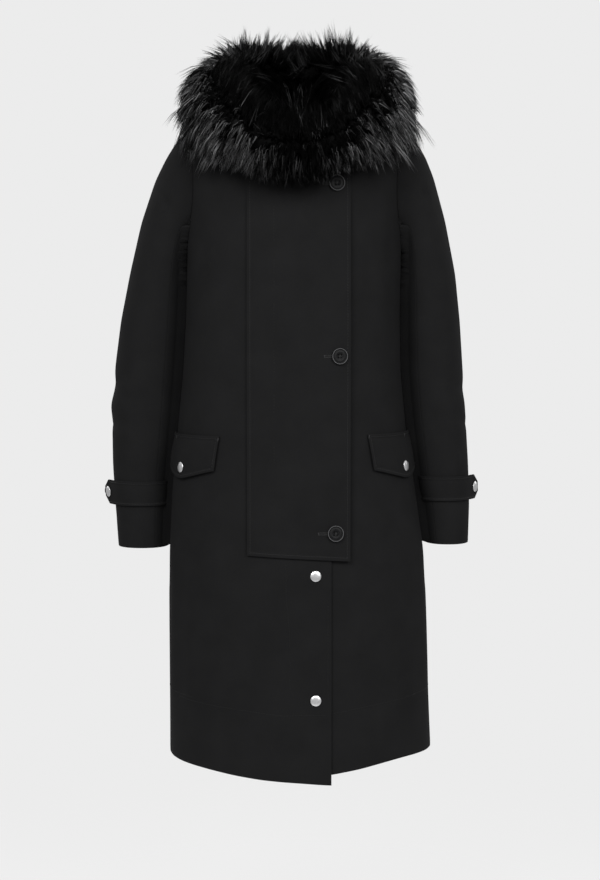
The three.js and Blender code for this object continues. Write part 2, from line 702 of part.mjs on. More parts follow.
function hoodColumn(turn) {
  const side = turn > 180 ? -1 : 1;
  const half = side > 0 ? turn : 360 - turn;
  const get = (key) => column(HOOD, key, "turn", half);
  const lying = steps(LYING_ROWS).map((u) => {
    const place = neckPlace(side * half, get("reach") * u);
    const x = bodyPoint(place.turn, place.level).x;
    const isFront = Math.abs(place.turn) < 90;
    const over = isFront ? lapLift(x) * (1 - smooth(LAP_END_X.from, LAP_END_X.to, x)) : 0;
    return onBody(place, over + CLOTH + lerp(LIE_GAP, BAG_GAP, u)).point;
  });
  const low = lying.at(-1);
  const rim = furPoint(turn, get("rim"), RIM_GAP);
  const out = low.clone().sub(lying[0]).setZ(0).normalize();
  const down = low.clone().sub(lying.at(-2)).normalize();
  const away = rim.clone().sub(furMiddle(turn)).normalize();
  const bagStart = low.clone().addScaledVector(down, get("sag")).addScaledVector(out, get("swell") / 4);
  const bagEnd = rim.clone().addScaledVector(away, get("sag")).addScaledVector(out, get("swell"));
  const curve = new THREE.CubicBezierCurve3(low, bagStart, bagEnd, rim);
  return [...lying, ...steps(RISING_ROWS).slice(1).map((t) => curve.getPoint(t))];
}

function makeHood() {
  const turns = furTurns.filter((turn) => turn >= HOOD_START && turn <= 360 - HOOD_START);
  const columns = turns.map(hoodColumn).reverse();
  const points = columns[0].map((_, r) => columns.map((points) => points[r]));
  add("hood", wall(withNormals(points)), shellCloth);
}
makeHood();

// Buttons and snap caps, each turned from a profile and set on the cloth

// Puts a turned piece on a point of cloth, facing along its normal
function seat(name, geometry, { point, normal }, finish) {
  const turn = new THREE.Quaternion().setFromUnitVectors(new THREE.Vector3(0, 0, 1), normal);
  geometry.applyQuaternion(turn);
  const at = point.clone().addScaledVector(normal, SEAM_GAP);
  geometry.translate(at.x, at.y, at.z);
  add(name, geometry, finish);
}

const ROUND_PARTS = 20;

function turned(profile) {
  const points = profile.map(([radius, height]) => new THREE.Vector2(radius, height));
  const lathe = new THREE.LatheGeometry(points, ROUND_PARTS);
  lathe.rotateX(Math.PI / 2);
  lathe.deleteAttribute("normal");
  lathe.deleteAttribute("uv");
  return mergeVertices(lathe, 1e-4);
}

const wasm = await Module();
wasm.setup();

function toManifold(geometry) {
  const vertProperties = new Float32Array(geometry.getAttribute("position").array);
  const triVerts = new Uint32Array(geometry.index.array);
  return new wasm.Manifold(new wasm.Mesh({ numProp: 3, vertProperties, triVerts }));
}

// A raised rim round a recessed face with four holes through it
function buttonGeometry() {
  const { radius, height, edge, rim, face, hole, holeRing } = BUTTON;
  const blank = turned([
    [0, 0],
    [radius - edge, 0],
    [radius, edge],
    [radius - edge / 2, height],
    [radius - rim, height],
    [radius - rim - edge, face],
    [0, face],
  ]);
  let button = toManifold(blank);
  for (let k = 0; k < 4; k++) {
    const drill = new THREE.CylinderGeometry(hole, hole, 4 * height, 8).rotateX(Math.PI / 2);
    const angle = (k * 90 + 45) * RAD;
    drill.translate(holeRing * Math.cos(angle), holeRing * Math.sin(angle), 0);
    drill.deleteAttribute("normal");
    drill.deleteAttribute("uv");
    button = button.subtract(toManifold(mergeVertices(drill, 1e-4)));
  }
  const { vertProperties, triVerts } = button.getMesh();
  return solidGeometry(Array.from(vertProperties), Array.from(triVerts));
}

function snapGeometry() {
  const { radius, wall: edge, crown, crownDrop, height } = SNAP;
  return turned([
    [0, 0],
    [radius, 0],
    [radius, edge],
    [crown, height - crownDrop],
    [0, height],
  ]);
}

const BUTTONS = [
  { name: "top_button", x: 62, z: -115.7 },
  { name: "middle_button", x: 66, z: -382 },
  { name: "bottom_button", x: 60.5, z: -655.6 },
];
for (const { name, x, z } of BUTTONS)
  seat(name, buttonGeometry(), onBody(frontPlace(x, z), lapLift(x) + LAYER), horn);

const FRONT_SNAPS = [
  { name: "upper_front_snap", x: 30.6, z: -721.3 },
  { name: "lower_front_snap", x: 30.8, z: -914 },
];
for (const { name, x, z } of FRONT_SNAPS)
  seat(name, snapGeometry(), onBody(frontPlace(x, z), lapLift(x)), steel);

for (const { word, middleTurn, snapZ } of POCKETS) {
  const place = { turn: middleTurn, level: snapZ - DOME_Z };
  seat(`${word}_pocket_snap`, snapGeometry(), onBody(place, LAYER), steel);
}

for (const { word, side } of SIDES)
  seat(`${word}_cuff_snap`, snapGeometry(), tabPlace(side, TAB_SNAP, 0), steel);

export default parka;
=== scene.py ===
# A long black parka with a fur-trimmed hood worn down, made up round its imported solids.
import math

import bmesh
import bpy
import numpy as np
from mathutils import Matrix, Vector
from mathutils.bvhtree import BVHTree


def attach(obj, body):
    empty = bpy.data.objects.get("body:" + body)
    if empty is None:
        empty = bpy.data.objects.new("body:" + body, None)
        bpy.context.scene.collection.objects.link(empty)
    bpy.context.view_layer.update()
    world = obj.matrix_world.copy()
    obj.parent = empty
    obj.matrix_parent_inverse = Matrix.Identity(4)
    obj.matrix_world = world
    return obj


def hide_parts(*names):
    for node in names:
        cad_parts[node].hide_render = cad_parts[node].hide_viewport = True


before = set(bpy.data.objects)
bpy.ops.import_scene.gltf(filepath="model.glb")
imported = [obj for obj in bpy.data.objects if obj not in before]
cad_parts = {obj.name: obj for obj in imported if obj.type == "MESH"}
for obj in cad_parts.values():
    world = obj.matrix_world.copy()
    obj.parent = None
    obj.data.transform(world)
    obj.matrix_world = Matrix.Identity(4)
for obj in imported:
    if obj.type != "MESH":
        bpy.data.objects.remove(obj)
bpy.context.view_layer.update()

# Camera
# It stands 3.2 m in front of the coat, a little above its hips, and looks slightly down.


def placed(name, data):
    """A new object in the scene, at its origin."""
    item = bpy.data.objects.new(name, data)
    bpy.context.scene.collection.objects.link(item)
    return item


camera = placed("camera", bpy.data.cameras.new("camera"))
bpy.context.scene.camera = camera
camera.location = (0.0065, -3.2, -0.2946)
aim = Vector((0.0065, 0, -0.5216))
camera.rotation_euler = (aim - camera.location).to_track_quat("-Z", "Y").to_euler()
camera.data.lens = 81
camera.data.sensor_width = 36
bpy.context.scene.view_settings.view_transform = "Standard"

# Studio
# A plain pale floor that fades into an even pale background, with large soft lights in front
# and a weaker one behind each shoulder.
BACKGROUND = 0.838
AMBIENT = 0.34
world = bpy.data.worlds.new("studio")
bpy.context.scene.world = world
world.use_nodes = True
nodes, links = world.node_tree.nodes, world.node_tree.links
seen = nodes.new("ShaderNodeLightPath")
level = nodes.new("ShaderNodeMapRange")
level.inputs["To Min"].default_value = AMBIENT
level.inputs["To Max"].default_value = BACKGROUND
links.new(seen.outputs["Is Camera Ray"], level.inputs["Value"])
links.new(level.outputs["Result"], nodes["Background"].inputs["Color"])


def mesh_from(name, bm):
    """A mesh of what was modelled, which is then let go."""
    mesh = bpy.data.meshes.new(name)
    bm.to_mesh(mesh)
    bm.free()
    return mesh


def new_material(name):
    """A material with its nodes, its links and its surface shader."""
    material = bpy.data.materials.new(name)
    material.use_nodes = True
    tree = material.node_tree
    return material, tree.nodes, tree.links, tree.nodes["Principled BSDF"]


FLOOR_Z = -1.35
FLOOR_RADIUS = 1.3
FADE_FROM, FADE_TO = 0.25, 1.25
bm = bmesh.new()
bmesh.ops.create_circle(bm, cap_ends=True, segments=96, radius=FLOOR_RADIUS)
bmesh.ops.translate(bm, verts=bm.verts, vec=(0, 0, FLOOR_Z))
floor = placed("floor", mesh_from("floor", bm))
paint, nodes, links, surface = new_material("pale floor")
surface.inputs["Base Color"].default_value = (0.12, 0.12, 0.12, 1)
surface.inputs["Roughness"].default_value = 0.95
surface.inputs["Specular IOR Level"].default_value = 0
surface.inputs["Emission Color"].default_value = (1, 1, 1, 1)
surface.inputs["Emission Strength"].default_value = 0.78
where = nodes.new("ShaderNodeTexCoord")
flat = nodes.new("ShaderNodeVectorMath")
flat.operation = "MULTIPLY"
flat.inputs[1].default_value = (1, 1, 0)
reach = nodes.new("ShaderNodeVectorMath")
reach.operation = "LENGTH"
fade = nodes.new("ShaderNodeMapRange")
fade.interpolation_type = "SMOOTHSTEP"
fade.inputs["From Min"].default_value = FADE_FROM
fade.inputs["From Max"].default_value = FADE_TO
fade.inputs["To Min"].default_value = 1
fade.inputs["To Max"].default_value = 0
links.new(where.outputs["Object"], flat.inputs[0])
links.new(flat.outputs["Vector"], reach.inputs[0])
links.new(reach.outputs["Value"], fade.inputs["Value"])
links.new(fade.outputs["Result"], surface.inputs["Alpha"])
floor.data.materials.append(paint)

LIGHTS_AIM = Vector((0, 0, -0.3))
LIGHTS = [
    # name, place, width, watts
    ("key", (-1.5, -2.8, 1.6), 2.0, 66),
    ("fill", (1.7, -2.8, 1.2), 2.0, 56),
    ("left edge", (-1.9, 1.3, 0.4), 1.2, 8),
    ("right edge", (1.9, 1.3, 0.4), 1.2, 8),
]
for name, place, width, watts in LIGHTS:
    lamp = bpy.data.lights.new(name, "AREA")
    lamp.shape = "DISK"
    lamp.size = width
    lamp.energy = watts
    holder = placed(name, lamp)
    holder.location = place
    holder.rotation_euler = (LIGHTS_AIM - Vector(place)).to_track_quat("-Z", "Y").to_euler()

# Fronts and back
# The coat's body is a wrapped right front over a left front and a back cut in one piece, all of
# black bonded wool. Each is a thin shell on its solid's outer face, with a few long soft
# troughs where the cloth hangs from the shoulders, and its edges are sewn together.
MM = 0.001
CLOTH = 2.5 * MM
SHELL = 2.3 * MM
DOUBLES = 0.01 * MM
BODY_CELL = 36 * MM
LOOKS = {
    "front": (Vector((0, -1, 0)), Vector((1, 0, 0))),
    "back": (Vector((0, 1, 0)), Vector((1, 0, 0))),
    "right side": (Vector((-1, 0, 0)), Vector((0, 1, 0))),
    "left side": (Vector((1, 0, 0)), Vector((0, 1, 0))),
}


def outer_face(node):
    """The outer face of a packed wall of cloth, as a sheet of four-sided cells."""
    bm = bmesh.new()
    bm.from_mesh(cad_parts[node].data)
    bmesh.ops.remove_doubles(bm, verts=bm.verts, dist=DOUBLES)
    rim = [f for f in bm.faces if any(abs(e.calc_length() - CLOTH) < DOUBLES for e in f.edges)]
    bmesh.ops.delete(bm, geom=rim, context="FACES_ONLY")
    left = set(bm.faces)
    islands = []
    while left:
        island, edge = set(), [left.pop()]
        while edge:
            face = edge.pop()
            island.add(face)
            for near in {f for e in face.edges for f in e.link_faces} & left:
                left.discard(near)
                edge.append(near)
        islands.append(island)
    islands.sort(key=lambda island: sum(f.calc_area() for f in island))
    bmesh.ops.delete(bm, geom=[f for island in islands[:-1] for f in island], context="FACES")
    loose = [v for v in bm.verts if not v.link_faces]
    bmesh.ops.delete(bm, geom=loose, context="VERTS")
    bmesh.ops.join_triangles(
        bm,
        faces=bm.faces,
        angle_face_threshold=math.radians(50),
        angle_shape_threshold=math.radians(80),
    )
    return bm


def halve_long_edges(bm, longest):
    """Cuts across the cells that are longer than longest."""
    for _ in range(3):
        long_edges = [e for e in bm.edges if e.calc_length() > longest]
        if long_edges:
            bmesh.ops.subdivide_edges(bm, edges=long_edges, cuts=1, use_grid_fill=True)


def applied(piece):
    """A piece's mesh with its modifiers applied."""
    graph = bpy.context.evaluated_depsgraph_get()
    graph.update()
    return bpy.data.meshes.new_from_object(piece.evaluated_get(graph))


def smoothed(bm, levels):
    """The sheet with its cells rounded off and its corners kept, as a bmesh."""
    corner = bm.verts.layers.float.new("crease_vert")
    for v in bm.verts:
        rim = [e for e in v.link_edges if e.is_boundary]
        if len(rim) == 2:
            a, b = (e.other_vert(v).co - v.co for e in rim)
            if a.angle(b) < math.radians(145):
                v[corner] = 1
    piece = placed("sheet", mesh_from("sheet", bm))
    rounding = piece.modifiers.new("rounding", "SUBSURF")
    rounding.levels = rounding.render_levels = levels
    rounding.boundary_smooth = "PRESERVE_CORNERS"
    rounding.use_creases = True
    finer = applied(piece)
    bpy.data.objects.remove(piece)
    bm = bmesh.new()
    bm.from_mesh(finer)
    bpy.data.meshes.remove(finer)
    return bm


def on_cloth(tree, look, spots):
    """Points of a sheet seen from one side, from (sideways, height) spots in mm."""
    towards, sideways = LOOKS[look]
    found = []
    for u, z in spots:
        start = sideways * u * MM + Vector((0, 0, z * MM)) + towards
        hit = tree.ray_cast(start, -towards)[0]
        if hit is not None:
            found.append(hit)
    return found


def crease(bm, path, width, depth):
    """Presses a soft trough along a path, or raises a ridge where depth is under 0."""
    if len(path) < 2:
        return
    bm.normal_update()
    points = np.array([v.co for v in bm.verts])
    stops = np.array(path)
    lengths = np.linalg.norm(np.diff(stops, axis=0), axis=1)
    total = lengths.sum()
    nearest = np.full(len(points), 1e9)
    along = np.zeros(len(points))
    gone = 0.0
    for a, b, length in zip(stops[:-1], stops[1:], lengths):
        share = np.clip((points - a) @ (b - a) / length**2, 0, 1)
        away = np.linalg.norm(points - (a + share[:, None] * (b - a)), axis=1)
        closer = away < nearest
        nearest[closer] = away[closer]
        along[closer] = (gone + share[closer] * length) / total
        gone += length
    ends = np.clip(np.sin(np.pi * np.clip(along, 0.02, 0.98)), 0, 1) ** 0.8
    uneven = 1 + 0.25 * np.sin(along * 9 + len(path) + width)
    press = depth * MM * ends * uneven * np.exp(-((nearest / (width * MM * uneven)) ** 2))
    for v, much in zip(bm.verts, press):
        if abs(much) > 1e-6:
            v.co -= v.normal * much


def press_creases(bm, rows):
    tree = BVHTree.FromBMesh(bm)
    for look, width, depth, spots in rows:
        crease(bm, on_cloth(tree, look, spots), width, depth)


def sink_seams(bm, depth=0.2 * MM):
    """Draws a sheet's edges in a little, where they are sewn to the next piece."""
    bm.normal_update()
    for v in [v for v in bm.verts if v.is_boundary]:
        v.co -= v.normal * depth


def noise_on(nodes, links, scale):
    """Noise that is fixed to the piece."""
    where = nodes.new("ShaderNodeTexCoord")
    noise = nodes.new("ShaderNodeTexNoise")
    noise.inputs["Scale"].default_value = scale
    links.new(where.outputs["Object"], noise.inputs["Vector"])
    return noise


def two_shades(nodes, dark, light, low=0, high=1):
    """A ramp from dark at low to light at high."""
    ramp = nodes.new("ShaderNodeValToRGB")
    for end, colour, at in zip(ramp.color_ramp.elements, (dark, light), (low, high)):
        end.position = at
        end.color = (*colour, 1)
    return ramp


def wool_material():
    """Black bonded wool: matt, faintly mottled, with a short soft nap."""
    cloth, nodes, links, surface = new_material("black wool")
    surface.inputs["Roughness"].default_value = 0.9
    surface.inputs["Specular IOR Level"].default_value = 0.07
    surface.inputs["Sheen Weight"].default_value = 0.015
    surface.inputs["Sheen Roughness"].default_value = 0.45
    surface.inputs["Sheen Tint"].default_value = (0.5, 0.5, 0.52, 1)
    mottle = noise_on(nodes, links, 22)
    mottle.inputs["Detail"].default_value = 6
    fibre = noise_on(nodes, links, 950)
    fibre.inputs["Detail"].default_value = 4
    both = nodes.new("ShaderNodeMix")
    both.data_type = "FLOAT"
    both.inputs["Factor"].default_value = 0.55
    shade = two_shades(nodes, (0.0105, 0.0105, 0.0108), (0.0155, 0.0155, 0.0159), 0.3, 0.7)
    nap = nodes.new("ShaderNodeBump")
    nap.inputs["Strength"].default_value = 0.35
    nap.inputs["Distance"].default_value = 0.0006
    links.new(mottle.outputs["Fac"], both.inputs["A"])
    links.new(fibre.outputs["Fac"], both.inputs["B"])
    links.new(both.outputs["Result"], shade.inputs["Fac"])
    links.new(shade.outputs["Color"], surface.inputs["Base Color"])
    links.new(fibre.outputs["Fac"], nap.inputs["Height"])
    links.new(nap.outputs["Normal"], surface.inputs["Normal"])
    return cloth


wool = wool_material()
sheets = {}


def cloth_piece(name, bm):
    """Finishes a sheet as a shell of cloth, and keeps the sheet for later steps."""
    bm.normal_update()
    for face in bm.faces:
        face.smooth = True
    mesh = bpy.data.meshes.new(name)
    bm.to_mesh(mesh)
    sheets[name] = bm
    piece = placed(f"{name}_cloth", mesh)
    mesh.materials.append(wool)
    wall = piece.modifiers.new("wall", "SOLIDIFY")
    wall.thickness = SHELL
    wall.offset = -1
    wall.use_even_offset = False
    rounded = piece.modifiers.new("rounded edges", "BEVEL")
    rounded.width = 0.45 * MM
    rounded.segments = 2
    rounded.limit_method = "ANGLE"
    rounded.angle_limit = math.radians(50)
    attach(piece, "root")
    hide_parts(name)


# look, width and depth in mm, then the path
BODY_CREASES = {
    "right_front": [
        ("front", 16, 1.6, [(-150, -140), (-146, -220), (-149, -330)]),
        ("front", 22, 1.2, [(-112, -250), (-106, -380), (-110, -500)]),
        ("front", 26, 1.4, [(-60, -740), (-66, -860), (-60, -1000)]),
        ("front", 24, -1.3, [(-120, -640), (-126, -800), (-122, -990)]),
        ("front", 20, 1.5, [(-172, -600), (-180, -760), (-178, -960)]),
        ("right side", 20, 2.6, [(0, -480), (10, -700), (4, -980)]),
        ("right side", 17, -2.2, [(-60, -620), (-66, -800), (-60, -1000)]),
    ],
    "left_front": [
        ("front", 18, 1.8, [(150, -130), (147, -230), (150, -330)]),
        ("front", 18, 1.5, [(118, -200), (112, -330), (116, -470)]),
        ("front", 22, -1.2, [(132, -230), (132, -340), (136, -460)]),
        ("front", 24, 1.5, [(110, -620), (118, -780), (114, -980)]),
        ("front", 22, -1.3, [(160, -640), (170, -800), (172, -980)]),
        ("left side", 20, 2.6, [(10, -480), (0, -700), (8, -980)]),
        ("left side", 17, -2.2, [(-60, -600), (-56, -800), (-62, -1000)]),
    ],
    "back": [
        ("back", 22, 5.6, [(-60, -120), (-68, -330), (-60, -620)]),
        ("back", 20, 5.0, [(62, -130), (68, -360), (56, -690)]),
        ("back", 26, -4.7, [(0, -420), (6, -700), (-2, -1000)]),
        ("back", 20, 5.3, [(-110, -560), (-120, -780), (-112, -1005)]),
        ("back", 19, 5.0, [(114, -520), (124, -800), (118, -1005)]),
        ("back", 15, 4.3, [(-150, -170), (-153, -300), (-160, -460)]),
        ("back", 15, 4.3, [(150, -170), (151, -320), (156, -480)]),
        ("back", 17, 4.0, [(-44, -720), (-52, -860), (-44, -1010)]),
        ("back", 14, 2.8, [(40, -880), (46, -960), (42, -1020)]),
    ],
}
for node, rows in BODY_CREASES.items():
    sheet = outer_face(node)
    halve_long_edges(sheet, BODY_CELL)
    sheet = smoothed(sheet, 2)
    press_creases(sheet, rows)
    sink_seams(sheet)
    cloth_piece(node, sheet)

# Sleeves
# Each set-in sleeve has a wide top piece and a narrow under piece of the same wool. The head
# dimples where its fulness is eased into the armhole, and the cloth breaks softly at the elbow
# and above the cuff.
SLEEVE_CREASES = {
    "right_top_sleeve": [
        ("front", 6, 3.2, [(-212, -122), (-207, -140), (-198, -158)]),
        ("front", 20, 1.6, [(-226, -170), (-238, -260), (-246, -350)]),
        ("front", 15, 1.5, [(-268, -330), (-276, -400), (-280, -470)]),
        ("front", 12, 1.4, [(-288, -440), (-262, -452), (-236, -448)]),
        ("front", 12, -1.2, [(-292, -500), (-270, -512), (-244, -510)]),
        ("front", 6, 2.0, [(-292, -646), (-262, -658), (-226, -650)]),
        ("right side", 20, 2.8, [(50, -180), (56, -300), (48, -440)]),
        ("right side", 11, 2.4, [(-34, -410), (0, -436), (44, -424)]),
        ("right side", 11, -1.8, [(-26, -452), (4, -468), (40, -462)]),
        ("right side", 9, 2.0, [(-30, -486), (4, -500), (44, -486)]),
        ("back", 18, 2.6, [(-232, -210), (-246, -330), (-262, -450)]),
        ("back", 9, 2.2, [(-276, -400), (-250, -424), (-226, -420)]),
        ("back", 9, 1.8, [(-280, -466), (-256, -484), (-230, -476)]),
    ],
    "left_top_sleeve": [
        ("front", 6, 3.2, [(197, -106), (204, -126), (212, -148)]),
        ("front", 20, 1.6, [(222, -180), (230, -270), (238, -360)]),
        ("front", 6, -2.6, [(252, -516), (259, -548), (257, -584)]),
        ("front", 12, 1.3, [(270, -430), (246, -446), (222, -440)]),
        ("front", 12, -1.1, [(276, -486), (250, -500), (226, -496)]),
        ("left side", 20, 2.6, [(50, -180), (56, -300), (48, -440)]),
        ("left side", 11, 2.2, [(-34, -420), (0, -444), (42, -434)]),
        ("left side", 9, 1.9, [(-28, -480), (4, -498), (42, -488)]),
        ("back", 18, 2.6, [(226, -210), (238, -330), (250, -450)]),
        ("back", 9, 2.2, [(266, -408), (242, -430), (218, -424)]),
        ("back", 9, 1.7, [(268, -470), (246, -486), (222, -482)]),
    ],
    "right_under_sleeve": [],
    "left_under_sleeve": [],
}
SEAM_GAP = 0.25 * MM
SEAM_REACH = 5 * MM
UNDERARM_REACH = 14 * MM
UNDERARM_Z = -0.19
ARMHOLE_Z = -0.18
SLEEVE_CELL = 26 * MM
SLEEVE_CLEAR = 0.5 * MM
SLEEVE_GIVES = 14 * MM
LEAN_START = 2 * MM


def meet(bm, names, reach=SEAM_REACH, above=-2):
    """Draws a sheet's edges up to the edges of the sheets it is sewn to."""
    starts, ends = [], []
    for name in names:
        for edge in sheets[name].edges:
            if edge.is_boundary:
                starts.append(edge.verts[0].co[:])
                ends.append(edge.verts[1].co[:])
    starts, ends = np.array(starts), np.array(ends)
    spans = ends - starts
    squares = (spans**2).sum(1)
    for v in [v for v in bm.verts if v.is_boundary and v.co.z > above]:
        here = np.array(v.co)
        share = np.clip(((here - starts) * spans).sum(1) / squares, 0, 1)
        points = starts + share[:, None] * spans
        gaps = np.linalg.norm(points - here, axis=1)
        best = gaps.argmin()
        if SEAM_GAP < gaps[best] < reach:
            v.co = Vector(points[best] + (here - points[best]) * SEAM_GAP / gaps[best])


def lean_on_body(bm, inward):
    """Lets the cloth that faces the body bulge over the last few mm, until it nearly touches."""
    bm.normal_update()
    body = [BVHTree.FromBMesh(sheets[name]) for name in BODY_CREASES]
    moves = []
    for v in bm.verts:
        facing = v.normal.dot(inward)
        if facing < 0 or (v.is_boundary and v.co.z < ARMHOLE_Z):
            continue
        start = v.co - inward * LEAN_START
        hits = [tree.ray_cast(start, inward, SLEEVE_GIVES)[3] for tree in body]
        hits = [hit - LEAN_START for hit in hits if hit is not None]
        if hits:
            moves.append((v, max(0, min(hits) - SLEEVE_CLEAR) * min(1, facing / 0.4)))
    for v, much in moves:
        v.co += inward * much


for node, rows in SLEEVE_CREASES.items():
    sheet = outer_face(node)
    halve_long_edges(sheet, SLEEVE_CELL)
    sheet = smoothed(sheet, 2)
    press_creases(sheet, rows)
    sink_seams(sheet)
    meet(sheet, BODY_CREASES)
    # last comes the corner under the arm, where the panels come together
    if "under" in node:
        top = node.replace("under", "top")
        meet(sheet, [top])
        lean_on_body(sheet, Vector((1 if "right" in node else -1, 0, 0)))
        meet(sheet, [top], UNDERARM_REACH, UNDERARM_Z)
    else:
        meet(sheet, BODY_CREASES, UNDERARM_REACH, UNDERARM_Z)
    cloth_piece(node, sheet)

# Storm flap
# A wide panel of the same wool lies over the closure. Its edges are turned in and topstitched,
# so that they stand a little proud of the stitched line.


def padded_edge(bm, inset, sink):
    """Cuts a ring of cells along the edges, and draws the line at inset in by sink."""
    options = {"use_boundary": True, "use_even_offset": False}
    bmesh.ops.inset_region(bm, faces=bm.faces[:], thickness=inset, **options)
    bm.normal_update()
    rim = {v for v in bm.verts if v.is_boundary}
    inner = [f for f in bm.faces if not any(v in rim for v in f.verts)]
    near_rim = {v for e in bm.edges if any(o in rim for o in e.verts) for v in e.verts}
    line = {v for f in inner for v in f.verts if v in near_rim}
    bmesh.ops.inset_region(bm, faces=inner, thickness=inset * 0.6, **options)
    for v in line:
        v.co -= v.normal * sink


storm_flap = outer_face("storm_flap")
halve_long_edges(storm_flap, BODY_CELL)
storm_flap = smoothed(storm_flap, 1)
padded_edge(storm_flap, 4.5 * MM, 1.0 * MM)
storm_flap = smoothed(storm_flap, 1)
press_creases(
    storm_flap,
    [
        ("front", 16, 0.7, [(-33, -140), (-34, -300), (-33, -480)]),
        ("front", 26, 0.9, [(20, -160), (26, -300), (22, -420)]),
        ("front", 24, -0.8, [(-10, -420), (-6, -540), (-10, -660)]),
        ("front", 18, 0.8, [(46, -420), (50, -520), (46, -620)]),
    ],
)
cloth_piece("storm_flap", storm_flap)

# Pocket flaps
# Each flap is a pointed piece of two layers with a turned, topstitched edge, sewn on along its
# top and snapped down near its point.
FLAP_DEEP = 65 * MM
FLAP_LIFT = 1.9 * MM
FLAP_SWELL = 0.9 * MM
for word in ("right", "left"):
    node = f"{word}_pocket_flap"
    flap = smoothed(outer_face(node), 1)
    padded_edge(flap, 4.2 * MM, 1.2 * MM)
    flap = smoothed(flap, 1)
    # it swells a little and its lower edge stands off the coat
    flap.normal_update()
    top = max(v.co.z for v in flap.verts)
    for v in flap.verts:
        fall = min(1, (top - v.co.z) / FLAP_DEEP)
        swell = 0 if v.is_boundary else FLAP_SWELL * math.sin(math.pi * fall)
        v.co += v.normal * (FLAP_LIFT * fall + swell)
    cloth_piece(node, flap)

# Cuff tabs
# A pointed strap is sewn into each sleeve's back seam, goes round the front of the cuff and is
# snapped on the outer edge, where its point stands off.
for word in ("right", "left"):
    node = f"{word}_cuff_tab"
    tab = smoothed(outer_face(node), 1)
    padded_edge(tab, 3.4 * MM, 1.0 * MM)
    tab = smoothed(tab, 1)
    cloth_piece(node, tab)

# Hood
# The hood is worn down: one shell of wool lies over the shoulders from the neckline, then turns
# up as a soft bag to the fur. Its cloth sags into shallow folds.
HOOD_CELL = 24 * MM
HOOD_REACH = 7 * MM
HOOD_GAP = 0.35 * MM
hood = outer_face("hood")
halve_long_edges(hood, HOOD_CELL)
hood = smoothed(hood, 2)
press_creases(
    hood,
    [
        ("back", 12, 2.6, [(-62, -6), (-40, -38), (-12, -52)]),
        ("back", 12, 2.6, [(64, -4), (44, -34), (14, -50)]),
        ("back", 14, 2.2, [(-30, 20), (-10, -6), (20, -8)]),
        ("back", 12, -2.0, [(-50, 12), (-30, -20), (0, -34)]),
    ],
)
# its rim is drawn up to the skin of the fur
trim_bm = bmesh.new()
trim_bm.from_mesh(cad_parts["fur_trim"].data)
trim_tree = BVHTree.FromBMesh(trim_bm)
trim_bm.free()
for v in [v for v in hood.verts if v.is_boundary]:
    at, _, _, gap = trim_tree.find_nearest(v.co)
    if gap < HOOD_REACH:
        v.co = at + (v.co - at).normalized() * HOOD_GAP
cloth_piece("hood", hood)

# Fur trim
# A thick strip of long black pile goes round the hood's edge. Its skin is a rolled strip, and
# the hair stands up from it, then flows to the strip's outer edge and down, in locks whose
# points gather. Half of the ring is stated, from the centre front to the centre back.
TRIM = [
    # turn, middle x, y and z, half-width, half-thickness, lean of the width
    (-30, -68, -151, -67, 42, 27, -78),
    (0, 0, -163, -82, 39, 27, -88),
    (30, 68, -151, -67, 42, 27, -78),
    (60, 126, -108, -20, 46, 27, -56),
    (90, 147, -38, 24, 46, 31, -28),
    (115, 140, 26, 54, 46, 34, 8),
    (140, 110, 76, 77, 45, 35, 42),
    (160, 62, 104, 88, 45, 34, 66),
    (180, 0, 112, 85, 44, 33, 78),
    (200, -62, 104, 88, 45, 34, 66),
]
TRIM_MIDDLE_X = 3
TRIM_END = 1.5
LOCKS = 3600
HAIRS_IN_LOCK = 9
HAIR_WIDTH = 0.95
draw = np.random.default_rng(11)


def along_trim(which, half):
    """One column of the trim's table on a smooth curve through its rows."""
    rows = np.array(TRIM, float)
    turns, values = rows[:, 0], rows[:, which]
    slopes = np.gradient(values, turns)
    slopes[1:-1] = (values[2:] - values[:-2]) / (turns[2:] - turns[:-2])
    i = np.clip(np.searchsorted(turns, half, side="right") - 1, 0, len(turns) - 2)
    span = turns[i + 1] - turns[i]
    t = (half - turns[i]) / span
    return (
        values[i] * (1 + 2 * t) * (1 - t) ** 2
        + values[i + 1] * t * t * (3 - 2 * t)
        + slopes[i] * span * t * (1 - t) ** 2
        - slopes[i + 1] * span * t * t * (1 - t)
    )


def trim_middle(turn):
    """The line along the middle of the strip, in mm."""
    side = np.where(turn > 180, -1, 1)
    half = np.where(turn > 180, 360 - turn, turn)
    middle = np.stack([side * along_trim(1, half), along_trim(2, half), along_trim(3, half)], -1)
    return middle + [TRIM_MIDDLE_X, 0, 0]


def unit(v):
    """Vectors of length 1."""
    return v / np.linalg.norm(v, axis=-1, keepdims=True)


def trim_frame(turn):
    """The strip's middle, its width and thickness directions and its half sizes, in mm."""
    half = np.where(turn > 180, 360 - turn, turn)
    forward = unit(trim_middle(turn + 1) - trim_middle(turn - 1))
    outward = unit(np.stack([forward[:, 1], -forward[:, 0], np.zeros(len(turn))], -1))
    upward = np.cross(outward, forward)
    lean = np.radians(along_trim(6, half))[:, None]
    across = outward * np.cos(lean) + upward * np.sin(lean)
    through = np.cross(forward, across)
    return trim_middle(turn), across, through, along_trim(4, half), along_trim(5, half)


def pattern(bm):
    """The corners and faces of a small shape that is to be repeated."""
    bm.verts.index_update()
    corners = np.array([v.co for v in bm.verts])
    faces = [[v.index for v in f.verts] for f in bm.faces]
    bm.free()
    return corners, faces


